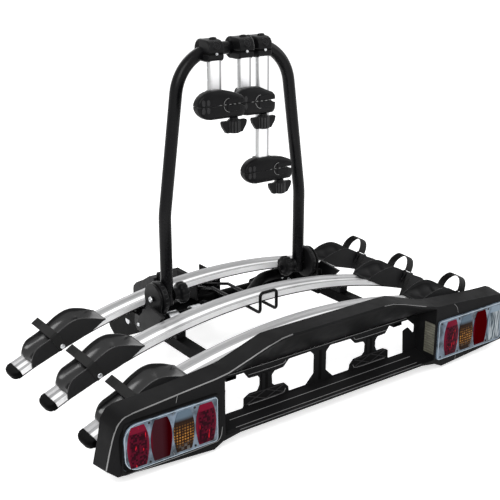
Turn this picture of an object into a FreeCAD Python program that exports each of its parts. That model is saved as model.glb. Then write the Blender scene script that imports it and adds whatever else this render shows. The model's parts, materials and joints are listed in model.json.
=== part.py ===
import FreeCAD, Part
import math
import os

# A carrier for three bicycles that clamps on a car's towball.
# Sizes are in millimetres. The origin is the centre of the towball.
# X runs across the car, +Y towards the car, +Z up. The left side is -X.

Vector = FreeCAD.Vector
X_AXIS = Vector(1, 0, 0)
Y_AXIS = Vector(0, 1, 0)
Z_AXIS = Vector(0, 0, 1)
SIDES = (-1, 1)

# Fits shared by mating pieces
RUNNING_GAP = 0.05
SLIDE_GAP = 0.3
SEAT_GAP = 0.2

# Towball, coupling head and the frame behind it
BALL_RADIUS = 25.0
BALL_GAP = 0.25
SOCKET_BELOW = 20.0
SOCKET_ABOVE = 4.0
HEAD_WIDTH = 86.0
HEAD_PROFILE = [(-40, -22), (-40, 71), (-16, 71), (18.5, 50), (59, 30), (77, 14), (79, 4), (79, -22)]
HEAD_CORNER = 5.0
LOCK_JAW_WIDTH = 24.0
LOCK_JAW_LENGTH = 13.0
LOCK_JAW_HEIGHT = 14.0
LOCK_JAW_TRAVEL = 3.0
FRAME_WIDTH = 68.0
FRAME_WALL = 6.0
FRAME_TOP = 87.0
FRAME_BOTTOM = 24.0
FRAME_EAR_RADIUS = 25.0

# Pivot that lets the platform tilt
PIVOT_Y = -230.0
PIVOT_Z = 62.0
PIVOT_TUBE_RADIUS = 15.0
PIVOT_TUBE_WALL = 3.0
PIVOT_PLUG_LENGTH = 25.0
PIVOT_BOLT_RADIUS = 6.0
BOLT_HEAD_FACTOR = 1.6

# Coupling lever on the right side of the head
LEVER_PIVOT_Y = -8.0
LEVER_PIVOT_Z = 42.0
LEVER_PIN_RADIUS = 5.0
LEVER_THICKNESS = 10.0
LEVER_LENGTH = 125.0
LEVER_DEPTH = 22.0

# Beams that run from the car side to the light board
BEAM_INNER_X = 222.0
BEAM_WIDTH = 31.0
BEAM_HEIGHT = 29.0
BEAM_TOP = 115.0
BEAM_WALL = 2.2
BEAM_CAR_END = -262.0
BEAM_REAR_END = -415.0
EXTENSION_OVERLAP = 60.0

# Gusset plates that carry the beams on the pivot
GUSSET_THICKNESS = 6.0
GUSSET_PROFILE = [(-318, 112), (-248, 112), (-122, 36), (-115, 8), (-140, -8), (-163, -8), (-213, 12), (-265, 38),
                  (-318, 66)]
GUSSET_CORNER = 12.0

# Bowed rails, one for each bicycle
RAIL_COUNT = 3
RAIL_PITCH = 180.0
FIRST_RAIL_FRONT_Y = -320.0
LAST_RAIL_FRONT_Y = FIRST_RAIL_FRONT_Y - (RAIL_COUNT - 1) * RAIL_PITCH
RAIL_WIDTH = 54.0
RAIL_HEIGHT = 15.0
RAIL_APEX_Z = 150.0
RAIL_ARC_RADIUS = 1357.7
RAIL_HALF_SPAN = 549.0
RAIL_LIP_WIDTH = 10.0
RAIL_FLOOR = 10.5
RAIL_WALL = 2.5
CAP_LENGTH = 12.0
CAP_CORNER = 10.5
CAP_LIP = 0.6
CAP_PLUG_LENGTH = 14.0
SADDLE_INSET = 5.0
SADDLE_BOLT_RADIUS = 4.0

# Cross tube between the beams, and its brackets
CROSS_TUBE_RADIUS = 14.0
CROSS_TUBE_WALL = 2.5
CROSS_TUBE_Z = 109.5
CROSS_TUBE_LEFT_Y = -382.0
CROSS_TUBE_RIGHT_Y = -285.0
CROSS_TUBE_BEND_START_X = 20.0
CROSS_TUBE_BEND_END_X = 140.0
CROSS_TUBE_BEND_RADIUS = 70.0
TUBE_BRACKET_X = (-192.0, -128.0)
TUBE_BRACKET_WIDTH = 26.0
TUBE_BRACKET_WALL = 4.0
TUBE_FLANGE_X = -101.0
TUBE_FLANGE_RADIUS = 23.0
TUBE_FLANGE_WIDTH = 8.0

# Hoop and its folding hinges
HOOP_Y = -365.0
HINGE_Z = 162.0
HOOP_RADIUS = 14.5
HOOP_WALL = 2.0
HOOP_FOOT_X = 194.0
HOOP_KNEE_Z = 355.0
HOOP_TOP_Z = 719.0
HOOP_TOP_X = 144.5
HOOP_BEND_RADIUS = 104.0
HOOP_KNEE_RADIUS = 200.0
HINGE_PIN_RADIUS = 5.0
HUB_RADIUS = 40.0
HUB_INNER_X = 208.9
HUB_OUTER_X = 228.7
HINGE_PLATE_X = 229.0
HINGE_PLATE_THICKNESS = 4.0
HINGE_PLATE_RADIUS = 29.0
HINGE_PLATE_BOLTS = ((-331.0, 91.5), (-382.0, 93.5))
PLATE_BOLT_RADIUS = 5.5
GUSSET_BOLTS = ((-305.0, 92.0), (-272.0, 92.0))
KNOB_RADIUS = 29.0
KNOB_INNER_X = 128.0
KNOB_RIM_X = 150.0
KNOB_OUTER_X = 179.2
KNOB_WAIST_RADIUS = 20.0
KNOB_FLUTES = 10
KNOB_FLUTE_RADIUS = 4.5

# Wheel cups at both ends of each rail, and their straps
CUP_PROFILE = [(318, 4), (340, 23), (362, 39), (388, 53), (412, 58), (435, 55), (458, 48), (480, 43),
               (505, 42), (516, 36), (520, 6)]
CUP_CORNER = 9.0
CUP_WALL = 3.0
CUP_FOOT_HEIGHT = 1.0
CUP_CHANNEL_RADIUS = 27.0
CUP_CHANNEL_CENTRE = 46.0
CUP_CHANNEL_FACETS = 10
CUP_CHANNEL_TOP = 70.0
STRAP_THICKNESS = 2.5
LEFT_STRAP_WIDTH = 20.0
LEFT_STRAP_LEAN = 32.0
LEFT_STRAP_X = 464.0
LEFT_STRAP_SEAT = 47.5
STRAP_OVERHANG = 38.0
STRAP_END_RISE = 2.0
RIGHT_STRAP_WIDTH = 24.0
RIGHT_STRAP_LEAN = 28.0
RIGHT_STRAP_X = 450.0
RIGHT_STRAP_SEAT = 51.5
STRAP_ARCH_RISE = 36.0
STRAP_TAIL_LENGTH = 78.0
STRAP_DROP = 42.0
BUCKLE_WIDTH = 32.0
BUCKLE_DEPTH = 12.0
BUCKLE_HEIGHT = 30.0
RIVET_RADIUS = 4.0

# Light board: half outlines as (distance from the middle, height)
BOARD_GAP = 23.0
BOARD_DEPTH = 50.0
BOARD_BACK_Y = LAST_RAIL_FRONT_Y - BOARD_GAP
BOARD_FRONT_Y = BOARD_BACK_Y - BOARD_DEPTH
BOARD_WALL = 3.0
BOARD_FRONT = [(129, 188), (166, 185), (261, 155), (297, 144), (390, 137), (467, 130), (516, 126), (531, 119),
               (542, 104), (552, 76), (565, 26), (541, 3), (324, -13), (303, -2), (260, 5)]
BOARD_BACK = [(142, 186), (176, 185), (281, 151), (300, 148), (400, 138), (470, 133), (520, 131), (535, 125),
              (547, 108), (554, 69), (567, 17), (539, -12), (324, -22), (303, -12), (260, -6)]
CREASE_COUNT = 4
GRID_SETBACK = 12.0
RECESS_DEPTH = BOARD_DEPTH + GRID_SETBACK
GRID_FRONT_Y = BOARD_FRONT_Y + RECESS_DEPTH
GRID_THICKNESS = 3.0
GRID_TOP = 104.0
GRID_HALF_WIDTH = 303.0
INNER_WINDOW = [(17, 86), (28, 98), (88, 97), (103, 82), (127, 80), (134, 72), (133, 52), (126, 45), (100, 43),
                (89, 32), (87, 19), (39, 19), (17, 41)]
OUTER_WINDOW = [(165, 73), (171, 81), (195, 82), (207, 98), (268, 98), (299, 79), (299, 56), (270, 78), (254, 73),
                (258, 9), (213, 8), (207, 20), (207, 37), (192, 45), (171, 45), (165, 57)]
WINDOW_CORNER = 3.0
PLATE_PAD_X = 149.5
PLATE_PAD_WIDTH = 24.0
PLATE_PAD_Z = (46.0, 84.0)
PLATE_PAD_THICKNESS = 2.0
# The tray under the plate: (distance behind the board's front, height)
TRAY_TOP = [(RECESS_DEPTH, 17), (41, 13), (18, 6.5), (3, 9)]
TRAY_UNDERSIDE = [(3, 5), (18, 1.5), (41, 8), (RECESS_DEPTH, 2)]

# Lamps: four fields each
LAMP_INNER_X = GRID_HALF_WIDTH + 12.0
LAMP_OUTER_X = 529.0
LAMP_BOTTOM = 7.0
LAMP_TOP = 104.0
LAMP_FRONT_Y = BOARD_FRONT_Y + 2.5
LAMP_DEPTH = 32.0
LAMP_WALL = 2.5
LAMP_CORNER = 10.0
LENS_THICKNESS = 3.0
LENS_HALF_HEIGHT = 42.0
LENS_COUNT = 4
LENS_BULGE = 5.5
LENS_SPACING = 1.8
LENS_MARGIN = 31.0
LENS_PITCH = (LAMP_OUTER_X - LAMP_INNER_X - 2 * LENS_MARGIN) / (LENS_COUNT - 1)
LAMP_CENTRE_Z = 55.0
LAMP_SCREW_RADIUS = 3.0
LAMP_SCREW_INSET = 6.5

# Wire handle that releases the tilt
WIRE_RADIUS = 3.75
WIRE_LEG_X = (-54.0, -8.0)
WIRE_LOOP_Y = -540.0
WIRE_LOOP_TOP = 191.0
WIRE_Z = 143.5
WIRE_SLOPE_Y = -345.0
WIRE_BEND = 9.0
CARRIAGE_X = (-62.0, 0.0)
CARRIAGE_Y = (-238.0, -200.0)
CARRIAGE_Z = (99.0, 115.0)
TONGUE_X = (-40.0, -20.0)
TONGUE_END_Y = -165.0
TONGUE_HEIGHT = 8.0
HANDLE_TRAVEL = 18.0
GUIDE_WALL = 4.0
GUIDE_FRONT_Y = -292.0
GUIDE_FLANGE_LENGTH = 16.0
SPRING_WIRE_RADIUS = 0.6
SPRING_RADIUS = 5.0
SPRING_TURNS = 8
SPRING_LENGTH = 28.8
SPRING_SEAT_HALF_WIDTH = 14.0

# Holding arms: places across the car, and distances before (-) the middle of the hoop's top bar
ARM_BAR_X = (-74.5, 6.8, 57.5)
ARM_BAR_OFFSET = -29.0
ARM_LENGTH = (102.5, 111.0, 285.0)
ARM_JAW_X = (-173.0, -53.0, 0.0)
ARM_JAW_LENGTH = (118.0, 105.0, 136.0)
ARM_JAW_Y = (-104.0, -72.0, -31.0)
CLAMP_X = ((-57.0, -31.0), (-20.0, 29.0), (30.0, 56.0))
BAR_WIDTH = 35.0
BAR_DEPTH = 16.0
BAR_WALL = 2.0
CLAMP_RADIUS = 23.0
CLAMP_BACK_WALL = 2.5
CLAMP_DOME_RADIUS = 10.0
CLAMP_SPLIT = 1.0
SOCKET_WALL = 4.0
SOCKET_SIDE_WALL = 2.0
BAR_END = 4.0
BAR_TOP = 14.0
JAW_HEIGHT = 62.0
JAW_DEPTH = 30.0
JAW_SPLIT = 1.0
JAW_TOOTH = 2.0
JAW_HINGE_INSET = 9.0
JAW_HINGE_RADIUS = 7.0
WING_X_INSET = (20.0, 24.0, 27.0)
WING_RADIUS = 34.0
WING_FOOT_RADIUS = 21.0
WING_THICKNESS = 9.0
WING_HEIGHT = 27.0
WING_HUB_RADIUS = 13.0
WING_NECK_RADIUS = 9.5
WING_NECK_LENGTH = 14.0
WING_SCREW_RADIUS = 4.0

ARC_CENTRE_Z = RAIL_APEX_Z - RAIL_ARC_RADIUS


# Shape helpers

def box(x_range, y_range, z_range):
    """A block between two values on each axis."""
    corner = Vector(x_range[0], y_range[0], z_range[0])
    return Part.makeBox(x_range[1] - x_range[0], y_range[1] - y_range[0], z_range[1] - z_range[0], corner)


def rod(start, end, radius):
    """A round bar from one point to another."""
    start = Vector(*start)
    along = Vector(*end) - start
    return Part.makeCylinder(radius, along.Length, start, along)


def corner_arc(start, corner, end):
    """The arc that touches both sides of a corner, from one point to the other, equally far from it."""
    before = (start - corner).normalize()
    after = (end - corner).normalize()
    turn = math.pi - before.getAngle(after)
    radius = (start - corner).Length / math.tan(turn / 2)
    middle = corner + (before + after).normalize() * (radius / math.cos(turn / 2) - radius)
    return Part.Arc(start, middle, end).toShape()


def rounded_edges(points, radius, closed=True):
    """Straight runs through the points, with a tangent arc of the given radius at each corner."""
    count = len(points)
    ends = {}
    for index in range(count):
        corner = points[index]
        ends[index] = (corner, corner)
        if not closed and index in (0, count - 1):
            continue
        before = points[index - 1] - corner
        after = points[(index + 1) % count] - corner
        turn = math.pi - before.getAngle(after)
        cut = min(radius * math.tan(turn / 2), 0.48 * min(before.Length, after.Length))
        if cut > 0.05:
            ends[index] = (corner + before.normalize() * cut, corner + after.normalize() * cut)
    edges = []
    for index in range(count):
        start, end = ends[index]
        if start != end:
            edges.append(corner_arc(start, points[index], end))
        if closed or index < count - 1:
            following = ends[(index + 1) % count][0]
            if (following - end).Length > 1e-6:
                edges.append(Part.LineSegment(end, following).toShape())
    return edges


def face(points, radius=0.0):
    """A flat face inside the closed outline."""
    return Part.Face(Part.Wire(rounded_edges(points, radius)))


def plate_yz(points, x_range, radius=0.0):
    """A plate whose outline is (y, z), between two x values."""
    outline = [Vector(x_range[0], y, z) for y, z in points]
    return face(outline, radius).extrude(X_AXIS * (x_range[1] - x_range[0]))


def plate_xz(points, y_range, radius=0.0):
    """A plate whose outline is (x, z), between two y values."""
    outline = [Vector(x, y_range[0], z) for x, z in points]
    return face(outline, radius).extrude(Y_AXIS * (y_range[1] - y_range[0]))


def plate_xy(points, z_range, radius=0.0):
    """A plate whose outline is (x, y), between two z values."""
    outline = [Vector(x, y, z_range[0]) for x, y in points]
    return face(outline, radius).extrude(Z_AXIS * (z_range[1] - z_range[0]))


def pipe(points, bend, radius):
    """A round bar along straight runs joined by tangent arcs."""
    points = [Vector(*point) for point in points]
    path = Part.Wire(rounded_edges(points, bend, closed=False))
    circle = Part.Wire(Part.makeCircle(radius, points[0], points[1] - points[0]))
    return path.makePipeShell([circle], True, False)


def tube(points, bend, radius, wall):
    """A hollow pipe, open at both ends."""
    return pipe(points, bend, radius).cut(pipe(points, bend, radius - wall))


def mirrored(shape):
    """The same shape on the other side of the car's middle."""
    return shape.mirror(Vector(0, 0, 0), X_AXIS)


def on_side(shape, side):
    """A shape modelled on the right, put on the given side."""
    return shape if side > 0 else mirrored(shape)


def joined(shapes):
    """One solid from touching solids."""
    result = shapes[0].fuse(list(shapes[1:])) if len(shapes) > 1 else shapes[0]
    return result.removeSplitter()


def save(name, shapes):
    """Write one sub-part: a single solid, or a group of separate solids."""
    solids = [solid for shape in shapes for solid in shape.Solids]
    shape = solids[0] if len(solids) == 1 else Part.makeCompound(solids)
    for solid in solids:
        if not solid.isValid() or solid.Volume < 1:
            print("check", name, "volume", round(solid.Volume, 2))
    shape.exportStep("parts/" + name + ".step")


def rail_front(index):
    """The y value of a rail's rear-facing side."""
    return FIRST_RAIL_FRONT_Y - index * RAIL_PITCH


def rail_z(x):
    """The height of the rails' underside at a distance from the middle."""
    return ARC_CENTRE_Z + math.sqrt(RAIL_ARC_RADIUS ** 2 - x ** 2)


def rail_angle(x):
    """The angle of a point of the rails about the centre of their bow."""
    return math.degrees(math.asin(x / RAIL_ARC_RADIUS))


def along_bow(section, front_y, angles):
    """A section of (y, height above the rail's underside) carried along the rails' bow."""
    outline = [Vector(0, front_y + y, RAIL_APEX_Z + height) for y, height in section]
    centre = Vector(0, 0, ARC_CENTRE_Z)
    start = face(outline)
    start.rotate(centre, Y_AXIS, angles[0])
    return start.revolve(centre, Y_AXIS, angles[1] - angles[0])


def below_bow(y_range):
    """Everything under the rails' underside, to trim what carries them."""
    return Part.makeCylinder(RAIL_ARC_RADIUS, y_range[1] - y_range[0], Vector(0, y_range[0], ARC_CENTRE_Z), Y_AXIS)


# Coupling: the part that is fixed on the towball

def coupling_head():
    outer = plate_yz(HEAD_PROFILE, (-HEAD_WIDTH / 2, HEAD_WIDTH / 2), HEAD_CORNER)
    socket_radius = BALL_RADIUS + BALL_GAP
    socket = rod((0, 0, -SOCKET_BELOW - 3), (0, 0, SOCKET_ABOVE), socket_radius)
    dome = Part.makeSphere(socket_radius, Vector(0, 0, SOCKET_ABOVE))
    outer = outer.cut(box((-HEAD_WIDTH, HEAD_WIDTH), (-100, 100), (-60, -SOCKET_BELOW)))
    jaw_pocket = box((-LOCK_JAW_WIDTH / 2 - SLIDE_GAP, LOCK_JAW_WIDTH / 2 + SLIDE_GAP),
                     (-BALL_RADIUS - LOCK_JAW_LENGTH, -10), (-LOCK_JAW_HEIGHT - SLIDE_GAP, SLIDE_GAP))
    pin_hole = rod((HEAD_WIDTH / 2 - 20, LEVER_PIVOT_Y, LEVER_PIVOT_Z), (HEAD_WIDTH, LEVER_PIVOT_Y, LEVER_PIVOT_Z),
                   LEVER_PIN_RADIUS)
    return outer.cut([socket, dome, jaw_pocket, pin_hole])


def ball_lock_jaw():
    jaw = box((-LOCK_JAW_WIDTH / 2, LOCK_JAW_WIDTH / 2),
              (-BALL_RADIUS - LOCK_JAW_LENGTH + LOCK_JAW_TRAVEL + SLIDE_GAP, -15), (-LOCK_JAW_HEIGHT, 0))
    return jaw.cut(rod((0, 0, -40), (0, 0, 40), BALL_RADIUS + BALL_GAP))


def coupling_frame():
    top_y = -40
    profile = [(top_y, FRAME_BOTTOM), (top_y, FRAME_TOP), (PIVOT_Y, FRAME_TOP), (PIVOT_Y, FRAME_TOP - 2 * FRAME_EAR_RADIUS),
               (PIVOT_Y + 60, FRAME_BOTTOM)]
    plate = plate_yz(profile, (FRAME_WIDTH / 2 - FRAME_WALL, FRAME_WIDTH / 2))
    ear = rod((FRAME_WIDTH / 2 - FRAME_WALL, PIVOT_Y, PIVOT_Z), (FRAME_WIDTH / 2, PIVOT_Y, PIVOT_Z), FRAME_EAR_RADIUS)
    side = plate.fuse(ear)
    inner = FRAME_WIDTH / 2 - FRAME_WALL
    top = box((-inner, inner), (PIVOT_Y + 20, top_y), (FRAME_TOP - FRAME_WALL, FRAME_TOP))
    nose = box((-inner, inner), (top_y - FRAME_WALL, top_y), (FRAME_BOTTOM, FRAME_TOP - FRAME_WALL))
    keeper_x = (TONGUE_X[0] - SLIDE_GAP - FRAME_WALL, TONGUE_X[1] + SLIDE_GAP + FRAME_WALL)
    keeper = box(keeper_x, (TONGUE_END_Y - 12, TONGUE_END_Y + 4), (FRAME_TOP, CARRIAGE_Z[1]))
    notch = box((TONGUE_X[0] - SLIDE_GAP, TONGUE_X[1] + SLIDE_GAP), (TONGUE_END_Y - 20, TONGUE_END_Y + 10),
                (CARRIAGE_Z[0] - SLIDE_GAP, CARRIAGE_Z[1] + 10))
    keeper_foot = box(keeper_x, (TONGUE_END_Y - 12, TONGUE_END_Y + 4), (FRAME_TOP - FRAME_WALL, FRAME_TOP))
    body = joined([side, mirrored(side), top, nose, keeper, keeper_foot])
    return body.cut([notch, pivot_bar(PIVOT_TUBE_RADIUS)])


def pivot_bar(radius):
    half = BEAM_INNER_X - GUSSET_THICKNESS - 1
    return rod((-half, PIVOT_Y, PIVOT_Z), (half, PIVOT_Y, PIVOT_Z), radius)


def pivot_tube():
    half = BEAM_INNER_X - GUSSET_THICKNESS - 1
    hollow_half = half - PIVOT_PLUG_LENGTH
    hollow = rod((-hollow_half, PIVOT_Y, PIVOT_Z), (hollow_half, PIVOT_Y, PIVOT_Z), PIVOT_TUBE_RADIUS - PIVOT_TUBE_WALL)
    threads = [rod((side * (hollow_half - 1), PIVOT_Y, PIVOT_Z), (side * (half + 1), PIVOT_Y, PIVOT_Z), PIVOT_BOLT_RADIUS)
               for side in SIDES]
    return pivot_bar(PIVOT_TUBE_RADIUS).cut([hollow] + threads)


def pivot_bolts():
    bolts = []
    head_x = BEAM_INNER_X + RUNNING_GAP * 4
    half = BEAM_INNER_X - GUSSET_THICKNESS - 1
    for side in SIDES:
        shank = rod((side * (half - PIVOT_PLUG_LENGTH), PIVOT_Y, PIVOT_Z), (side * head_x, PIVOT_Y, PIVOT_Z),
                    PIVOT_BOLT_RADIUS)
        head = rod((side * head_x, PIVOT_Y, PIVOT_Z), (side * (head_x + 7), PIVOT_Y, PIVOT_Z),
                   PIVOT_BOLT_RADIUS * BOLT_HEAD_FACTOR)
        bolts.append(joined([shank, head]))
    return bolts


def lever_pin():
    reach = HEAD_WIDTH / 2 + SLIDE_GAP + LEVER_THICKNESS + SLIDE_GAP
    shank = rod((HEAD_WIDTH / 2 - 20, LEVER_PIVOT_Y, LEVER_PIVOT_Z), (reach, LEVER_PIVOT_Y, LEVER_PIVOT_Z),
                LEVER_PIN_RADIUS)
    head = rod((reach, LEVER_PIVOT_Y, LEVER_PIVOT_Z), (reach + 4, LEVER_PIVOT_Y, LEVER_PIVOT_Z),
               LEVER_PIN_RADIUS * BOLT_HEAD_FACTOR)
    return joined([shank, head])


def coupling_lever():
    inner_x = HEAD_WIDTH / 2 + SLIDE_GAP
    tip_y = LEVER_PIVOT_Y - LEVER_LENGTH
    profile = [(LEVER_PIVOT_Y + 12, LEVER_PIVOT_Z + 12), (LEVER_PIVOT_Y - 30, LEVER_PIVOT_Z + 12),
               (tip_y, LEVER_PIVOT_Z + 4), (tip_y, LEVER_PIVOT_Z - LEVER_DEPTH + 8),
               (LEVER_PIVOT_Y - 40, LEVER_PIVOT_Z - 8), (LEVER_PIVOT_Y + 12, LEVER_PIVOT_Z - 12)]
    arm = plate_yz(profile, (inner_x, inner_x + LEVER_THICKNESS), 6)
    hole = rod((inner_x - 1, LEVER_PIVOT_Y, LEVER_PIVOT_Z), (inner_x + LEVER_THICKNESS + 1, LEVER_PIVOT_Y, LEVER_PIVOT_Z),
               LEVER_PIN_RADIUS + RUNNING_GAP)
    return arm.cut(hole)


# Platform: beams, gussets, rails and what joins them

def beam_box(inset, y_range):
    x_range = (BEAM_INNER_X + inset, BEAM_INNER_X + BEAM_WIDTH - inset)
    z_range = (BEAM_TOP - BEAM_HEIGHT + inset, BEAM_TOP - inset)
    return box(x_range, y_range, z_range)


def beam():
    span = (BEAM_REAR_END, BEAM_CAR_END)
    hollow = (BEAM_REAR_END - 1, BEAM_CAR_END - BEAM_WALL)
    return beam_box(0, span).cut(beam_box(BEAM_WALL, hollow))


def beam_extension():
    inset = BEAM_WALL + SEAT_GAP
    span = (GRID_FRONT_Y + GRID_THICKNESS, BEAM_REAR_END + EXTENSION_OVERLAP)
    hollow = (span[0] - 1, span[1] + 1)
    return beam_box(inset, span).cut(beam_box(inset + BEAM_WALL, hollow))


def gusset_plate():
    plate = plate_yz(GUSSET_PROFILE, (BEAM_INNER_X - GUSSET_THICKNESS, BEAM_INNER_X), GUSSET_CORNER)
    hole = rod((0, PIVOT_Y, PIVOT_Z), (BEAM_INNER_X + 10, PIVOT_Y, PIVOT_Z), PIVOT_BOLT_RADIUS + RUNNING_GAP)
    return plate.cut(hole)


def rail(index):
    width = RAIL_WIDTH
    lip = RAIL_LIP_WIDTH
    wall = RAIL_WALL
    outline = [(0, 0), (width, 0), (width, RAIL_HEIGHT), (width - lip, RAIL_HEIGHT), (width - lip - 4, RAIL_FLOOR),
               (lip + 4, RAIL_FLOOR), (lip, RAIL_HEIGHT), (0, RAIL_HEIGHT)]
    hollow = [(wall, wall), (width - wall, wall), (width - wall, RAIL_HEIGHT - wall),
              (width - lip, RAIL_HEIGHT - wall), (width - lip - 3, RAIL_FLOOR - wall), (lip + 3, RAIL_FLOOR - wall),
              (lip, RAIL_HEIGHT - wall), (wall, RAIL_HEIGHT - wall)]
    end = rail_angle(RAIL_HALF_SPAN)
    outer = along_bow(outline, rail_front(index), (-end, end))
    return outer.cut(along_bow(hollow, rail_front(index), (-end - 1, end + 1)))


def rail_cap(index, side):
    front = rail_front(index)
    width = RAIL_WIDTH
    outline = [(0, front - CAP_LIP), (CAP_LENGTH, front - CAP_LIP), (CAP_LENGTH, front + width + CAP_LIP),
               (0, front + width + CAP_LIP)]
    corners = [Vector(x, y, RAIL_APEX_Z - CAP_LIP) for x, y in outline]
    edges = rounded_edges(corners, CAP_CORNER)
    head = Part.Face(Part.Wire(edges)).extrude(Z_AXIS * (RAIL_HEIGHT + 2 * CAP_LIP))
    root = box((0, CAP_LENGTH / 2), (front - CAP_LIP, front + width + CAP_LIP),
               (RAIL_APEX_Z - CAP_LIP, RAIL_APEX_Z + RAIL_HEIGHT + CAP_LIP))
    inset = RAIL_WALL + SEAT_GAP
    plug = box((-CAP_PLUG_LENGTH, 1), (front + inset, front + width - inset),
               (RAIL_APEX_Z + inset, RAIL_APEX_Z + RAIL_FLOOR - inset))
    cap = joined([head, root, plug])
    cap.rotate(Vector(0, 0, ARC_CENTRE_Z), Y_AXIS, rail_angle(RAIL_HALF_SPAN))
    return on_side(cap, side)


def saddle_floor(index):
    """The top of the beam, or of its slimmer extension, under a rail."""
    on_beam = rail_front(index) > BEAM_REAR_END
    return BEAM_TOP if on_beam else BEAM_TOP - BEAM_WALL - SEAT_GAP


def rail_saddle(index, side):
    y_range = (rail_front(index) + SADDLE_INSET, rail_front(index) + RAIL_WIDTH - SADDLE_INSET)
    block = box((BEAM_INNER_X + 3, BEAM_INNER_X + BEAM_WIDTH - 3), y_range, (saddle_floor(index), RAIL_APEX_Z))
    return on_side(block.common(below_bow(y_range)), side)


def bolt_head(x, y, z, radius, outward):
    """A round bolt head that lies on an upright face."""
    return rod((x, y, z), (x + outward * radius * 0.4, y, z), radius)


def frame_bolts():
    bolts = []
    for side in SIDES:
        for y, z in HINGE_PLATE_BOLTS:
            face_x = BEAM_INNER_X + BEAM_WIDTH + HINGE_PLATE_THICKNESS
            bolts.append(bolt_head(side * face_x, y, z, PLATE_BOLT_RADIUS, side))
        gusset_face = BEAM_INNER_X - GUSSET_THICKNESS
        for y, z in GUSSET_BOLTS:
            bolts.append(bolt_head(side * gusset_face, y, z, PLATE_BOLT_RADIUS, -side))
    return bolts


def cross_tube():
    end = BEAM_INNER_X
    near = (-end, CROSS_TUBE_LEFT_Y, CROSS_TUBE_Z)
    bend_start = (CROSS_TUBE_BEND_START_X, CROSS_TUBE_LEFT_Y, CROSS_TUBE_Z)
    bend_end = (CROSS_TUBE_BEND_END_X, CROSS_TUBE_RIGHT_Y, CROSS_TUBE_Z)
    far = (end - GUSSET_THICKNESS, CROSS_TUBE_RIGHT_Y, CROSS_TUBE_Z)
    body = tube([near, bend_start, bend_end, far], CROSS_TUBE_BEND_RADIUS, CROSS_TUBE_RADIUS, CROSS_TUBE_WALL)
    flange = rod((TUBE_FLANGE_X - TUBE_FLANGE_WIDTH / 2, CROSS_TUBE_LEFT_Y, CROSS_TUBE_Z),
                 (TUBE_FLANGE_X + TUBE_FLANGE_WIDTH / 2, CROSS_TUBE_LEFT_Y, CROSS_TUBE_Z), TUBE_FLANGE_RADIUS)
    bore = rod((TUBE_FLANGE_X - TUBE_FLANGE_WIDTH, CROSS_TUBE_LEFT_Y, CROSS_TUBE_Z),
               (TUBE_FLANGE_X + TUBE_FLANGE_WIDTH, CROSS_TUBE_LEFT_Y, CROSS_TUBE_Z), CROSS_TUBE_RADIUS - 1)
    return joined([body, flange.cut(bore)])


def tube_bracket(x):
    """A U of sheet metal over the cross tube."""
    radius = CROSS_TUBE_RADIUS + TUBE_BRACKET_WALL
    x_range = (x - TUBE_BRACKET_WIDTH / 2, x + TUBE_BRACKET_WIDTH / 2)
    y = CROSS_TUBE_LEFT_Y
    z = CROSS_TUBE_Z
    crown = rod((x_range[0], y, z), (x_range[1], y, z), radius)
    legs = box(x_range, (y - radius, y + radius), (z - CROSS_TUBE_RADIUS - 4, z))
    bore = rod((x_range[0] - 1, y, z), (x_range[1] + 1, y, z), CROSS_TUBE_RADIUS)
    gap = box((x_range[0] - 1, x_range[1] + 1), (y - CROSS_TUBE_RADIUS, y + CROSS_TUBE_RADIUS), (z - radius - 20, z))
    return crown.fuse(legs).cut([bore, gap])


def hinge_plate(side):
    """A plate bolted outside the beam, joggled inwards over it, with a round top about the hinge."""
    outer_x = BEAM_INNER_X + BEAM_WIDTH
    wall = HINGE_PLATE_THICKNESS
    lower = plate_yz([(-404, BEAM_TOP + wall), (-404, 100), (-392, 80), (-330, 80), (-318, 92), (-322, BEAM_TOP + wall)],
                     (outer_x, outer_x + wall), 6)
    shelf = box((HINGE_PLATE_X, outer_x + wall), (-400, -326), (BEAM_TOP, BEAM_TOP + wall))
    upper = plate_yz([(-402, BEAM_TOP), (-396, 150), (HOOP_Y - HINGE_PLATE_RADIUS, HINGE_Z),
                      (HOOP_Y + HINGE_PLATE_RADIUS, HINGE_Z), (-334, 146), (-324, BEAM_TOP)],
                     (HINGE_PLATE_X, HINGE_PLATE_X + wall))
    crown = rod((HINGE_PLATE_X, HOOP_Y, HINGE_Z), (HINGE_PLATE_X + wall, HOOP_Y, HINGE_Z), HINGE_PLATE_RADIUS)
    hole = rod((HINGE_PLATE_X - 1, HOOP_Y, HINGE_Z), (HINGE_PLATE_X + wall + 1, HOOP_Y, HINGE_Z),
               HINGE_PIN_RADIUS + RUNNING_GAP)
    return on_side(joined([lower, shelf, upper, crown]).cut(hole), side)


# Wheel cups and straps

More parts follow.
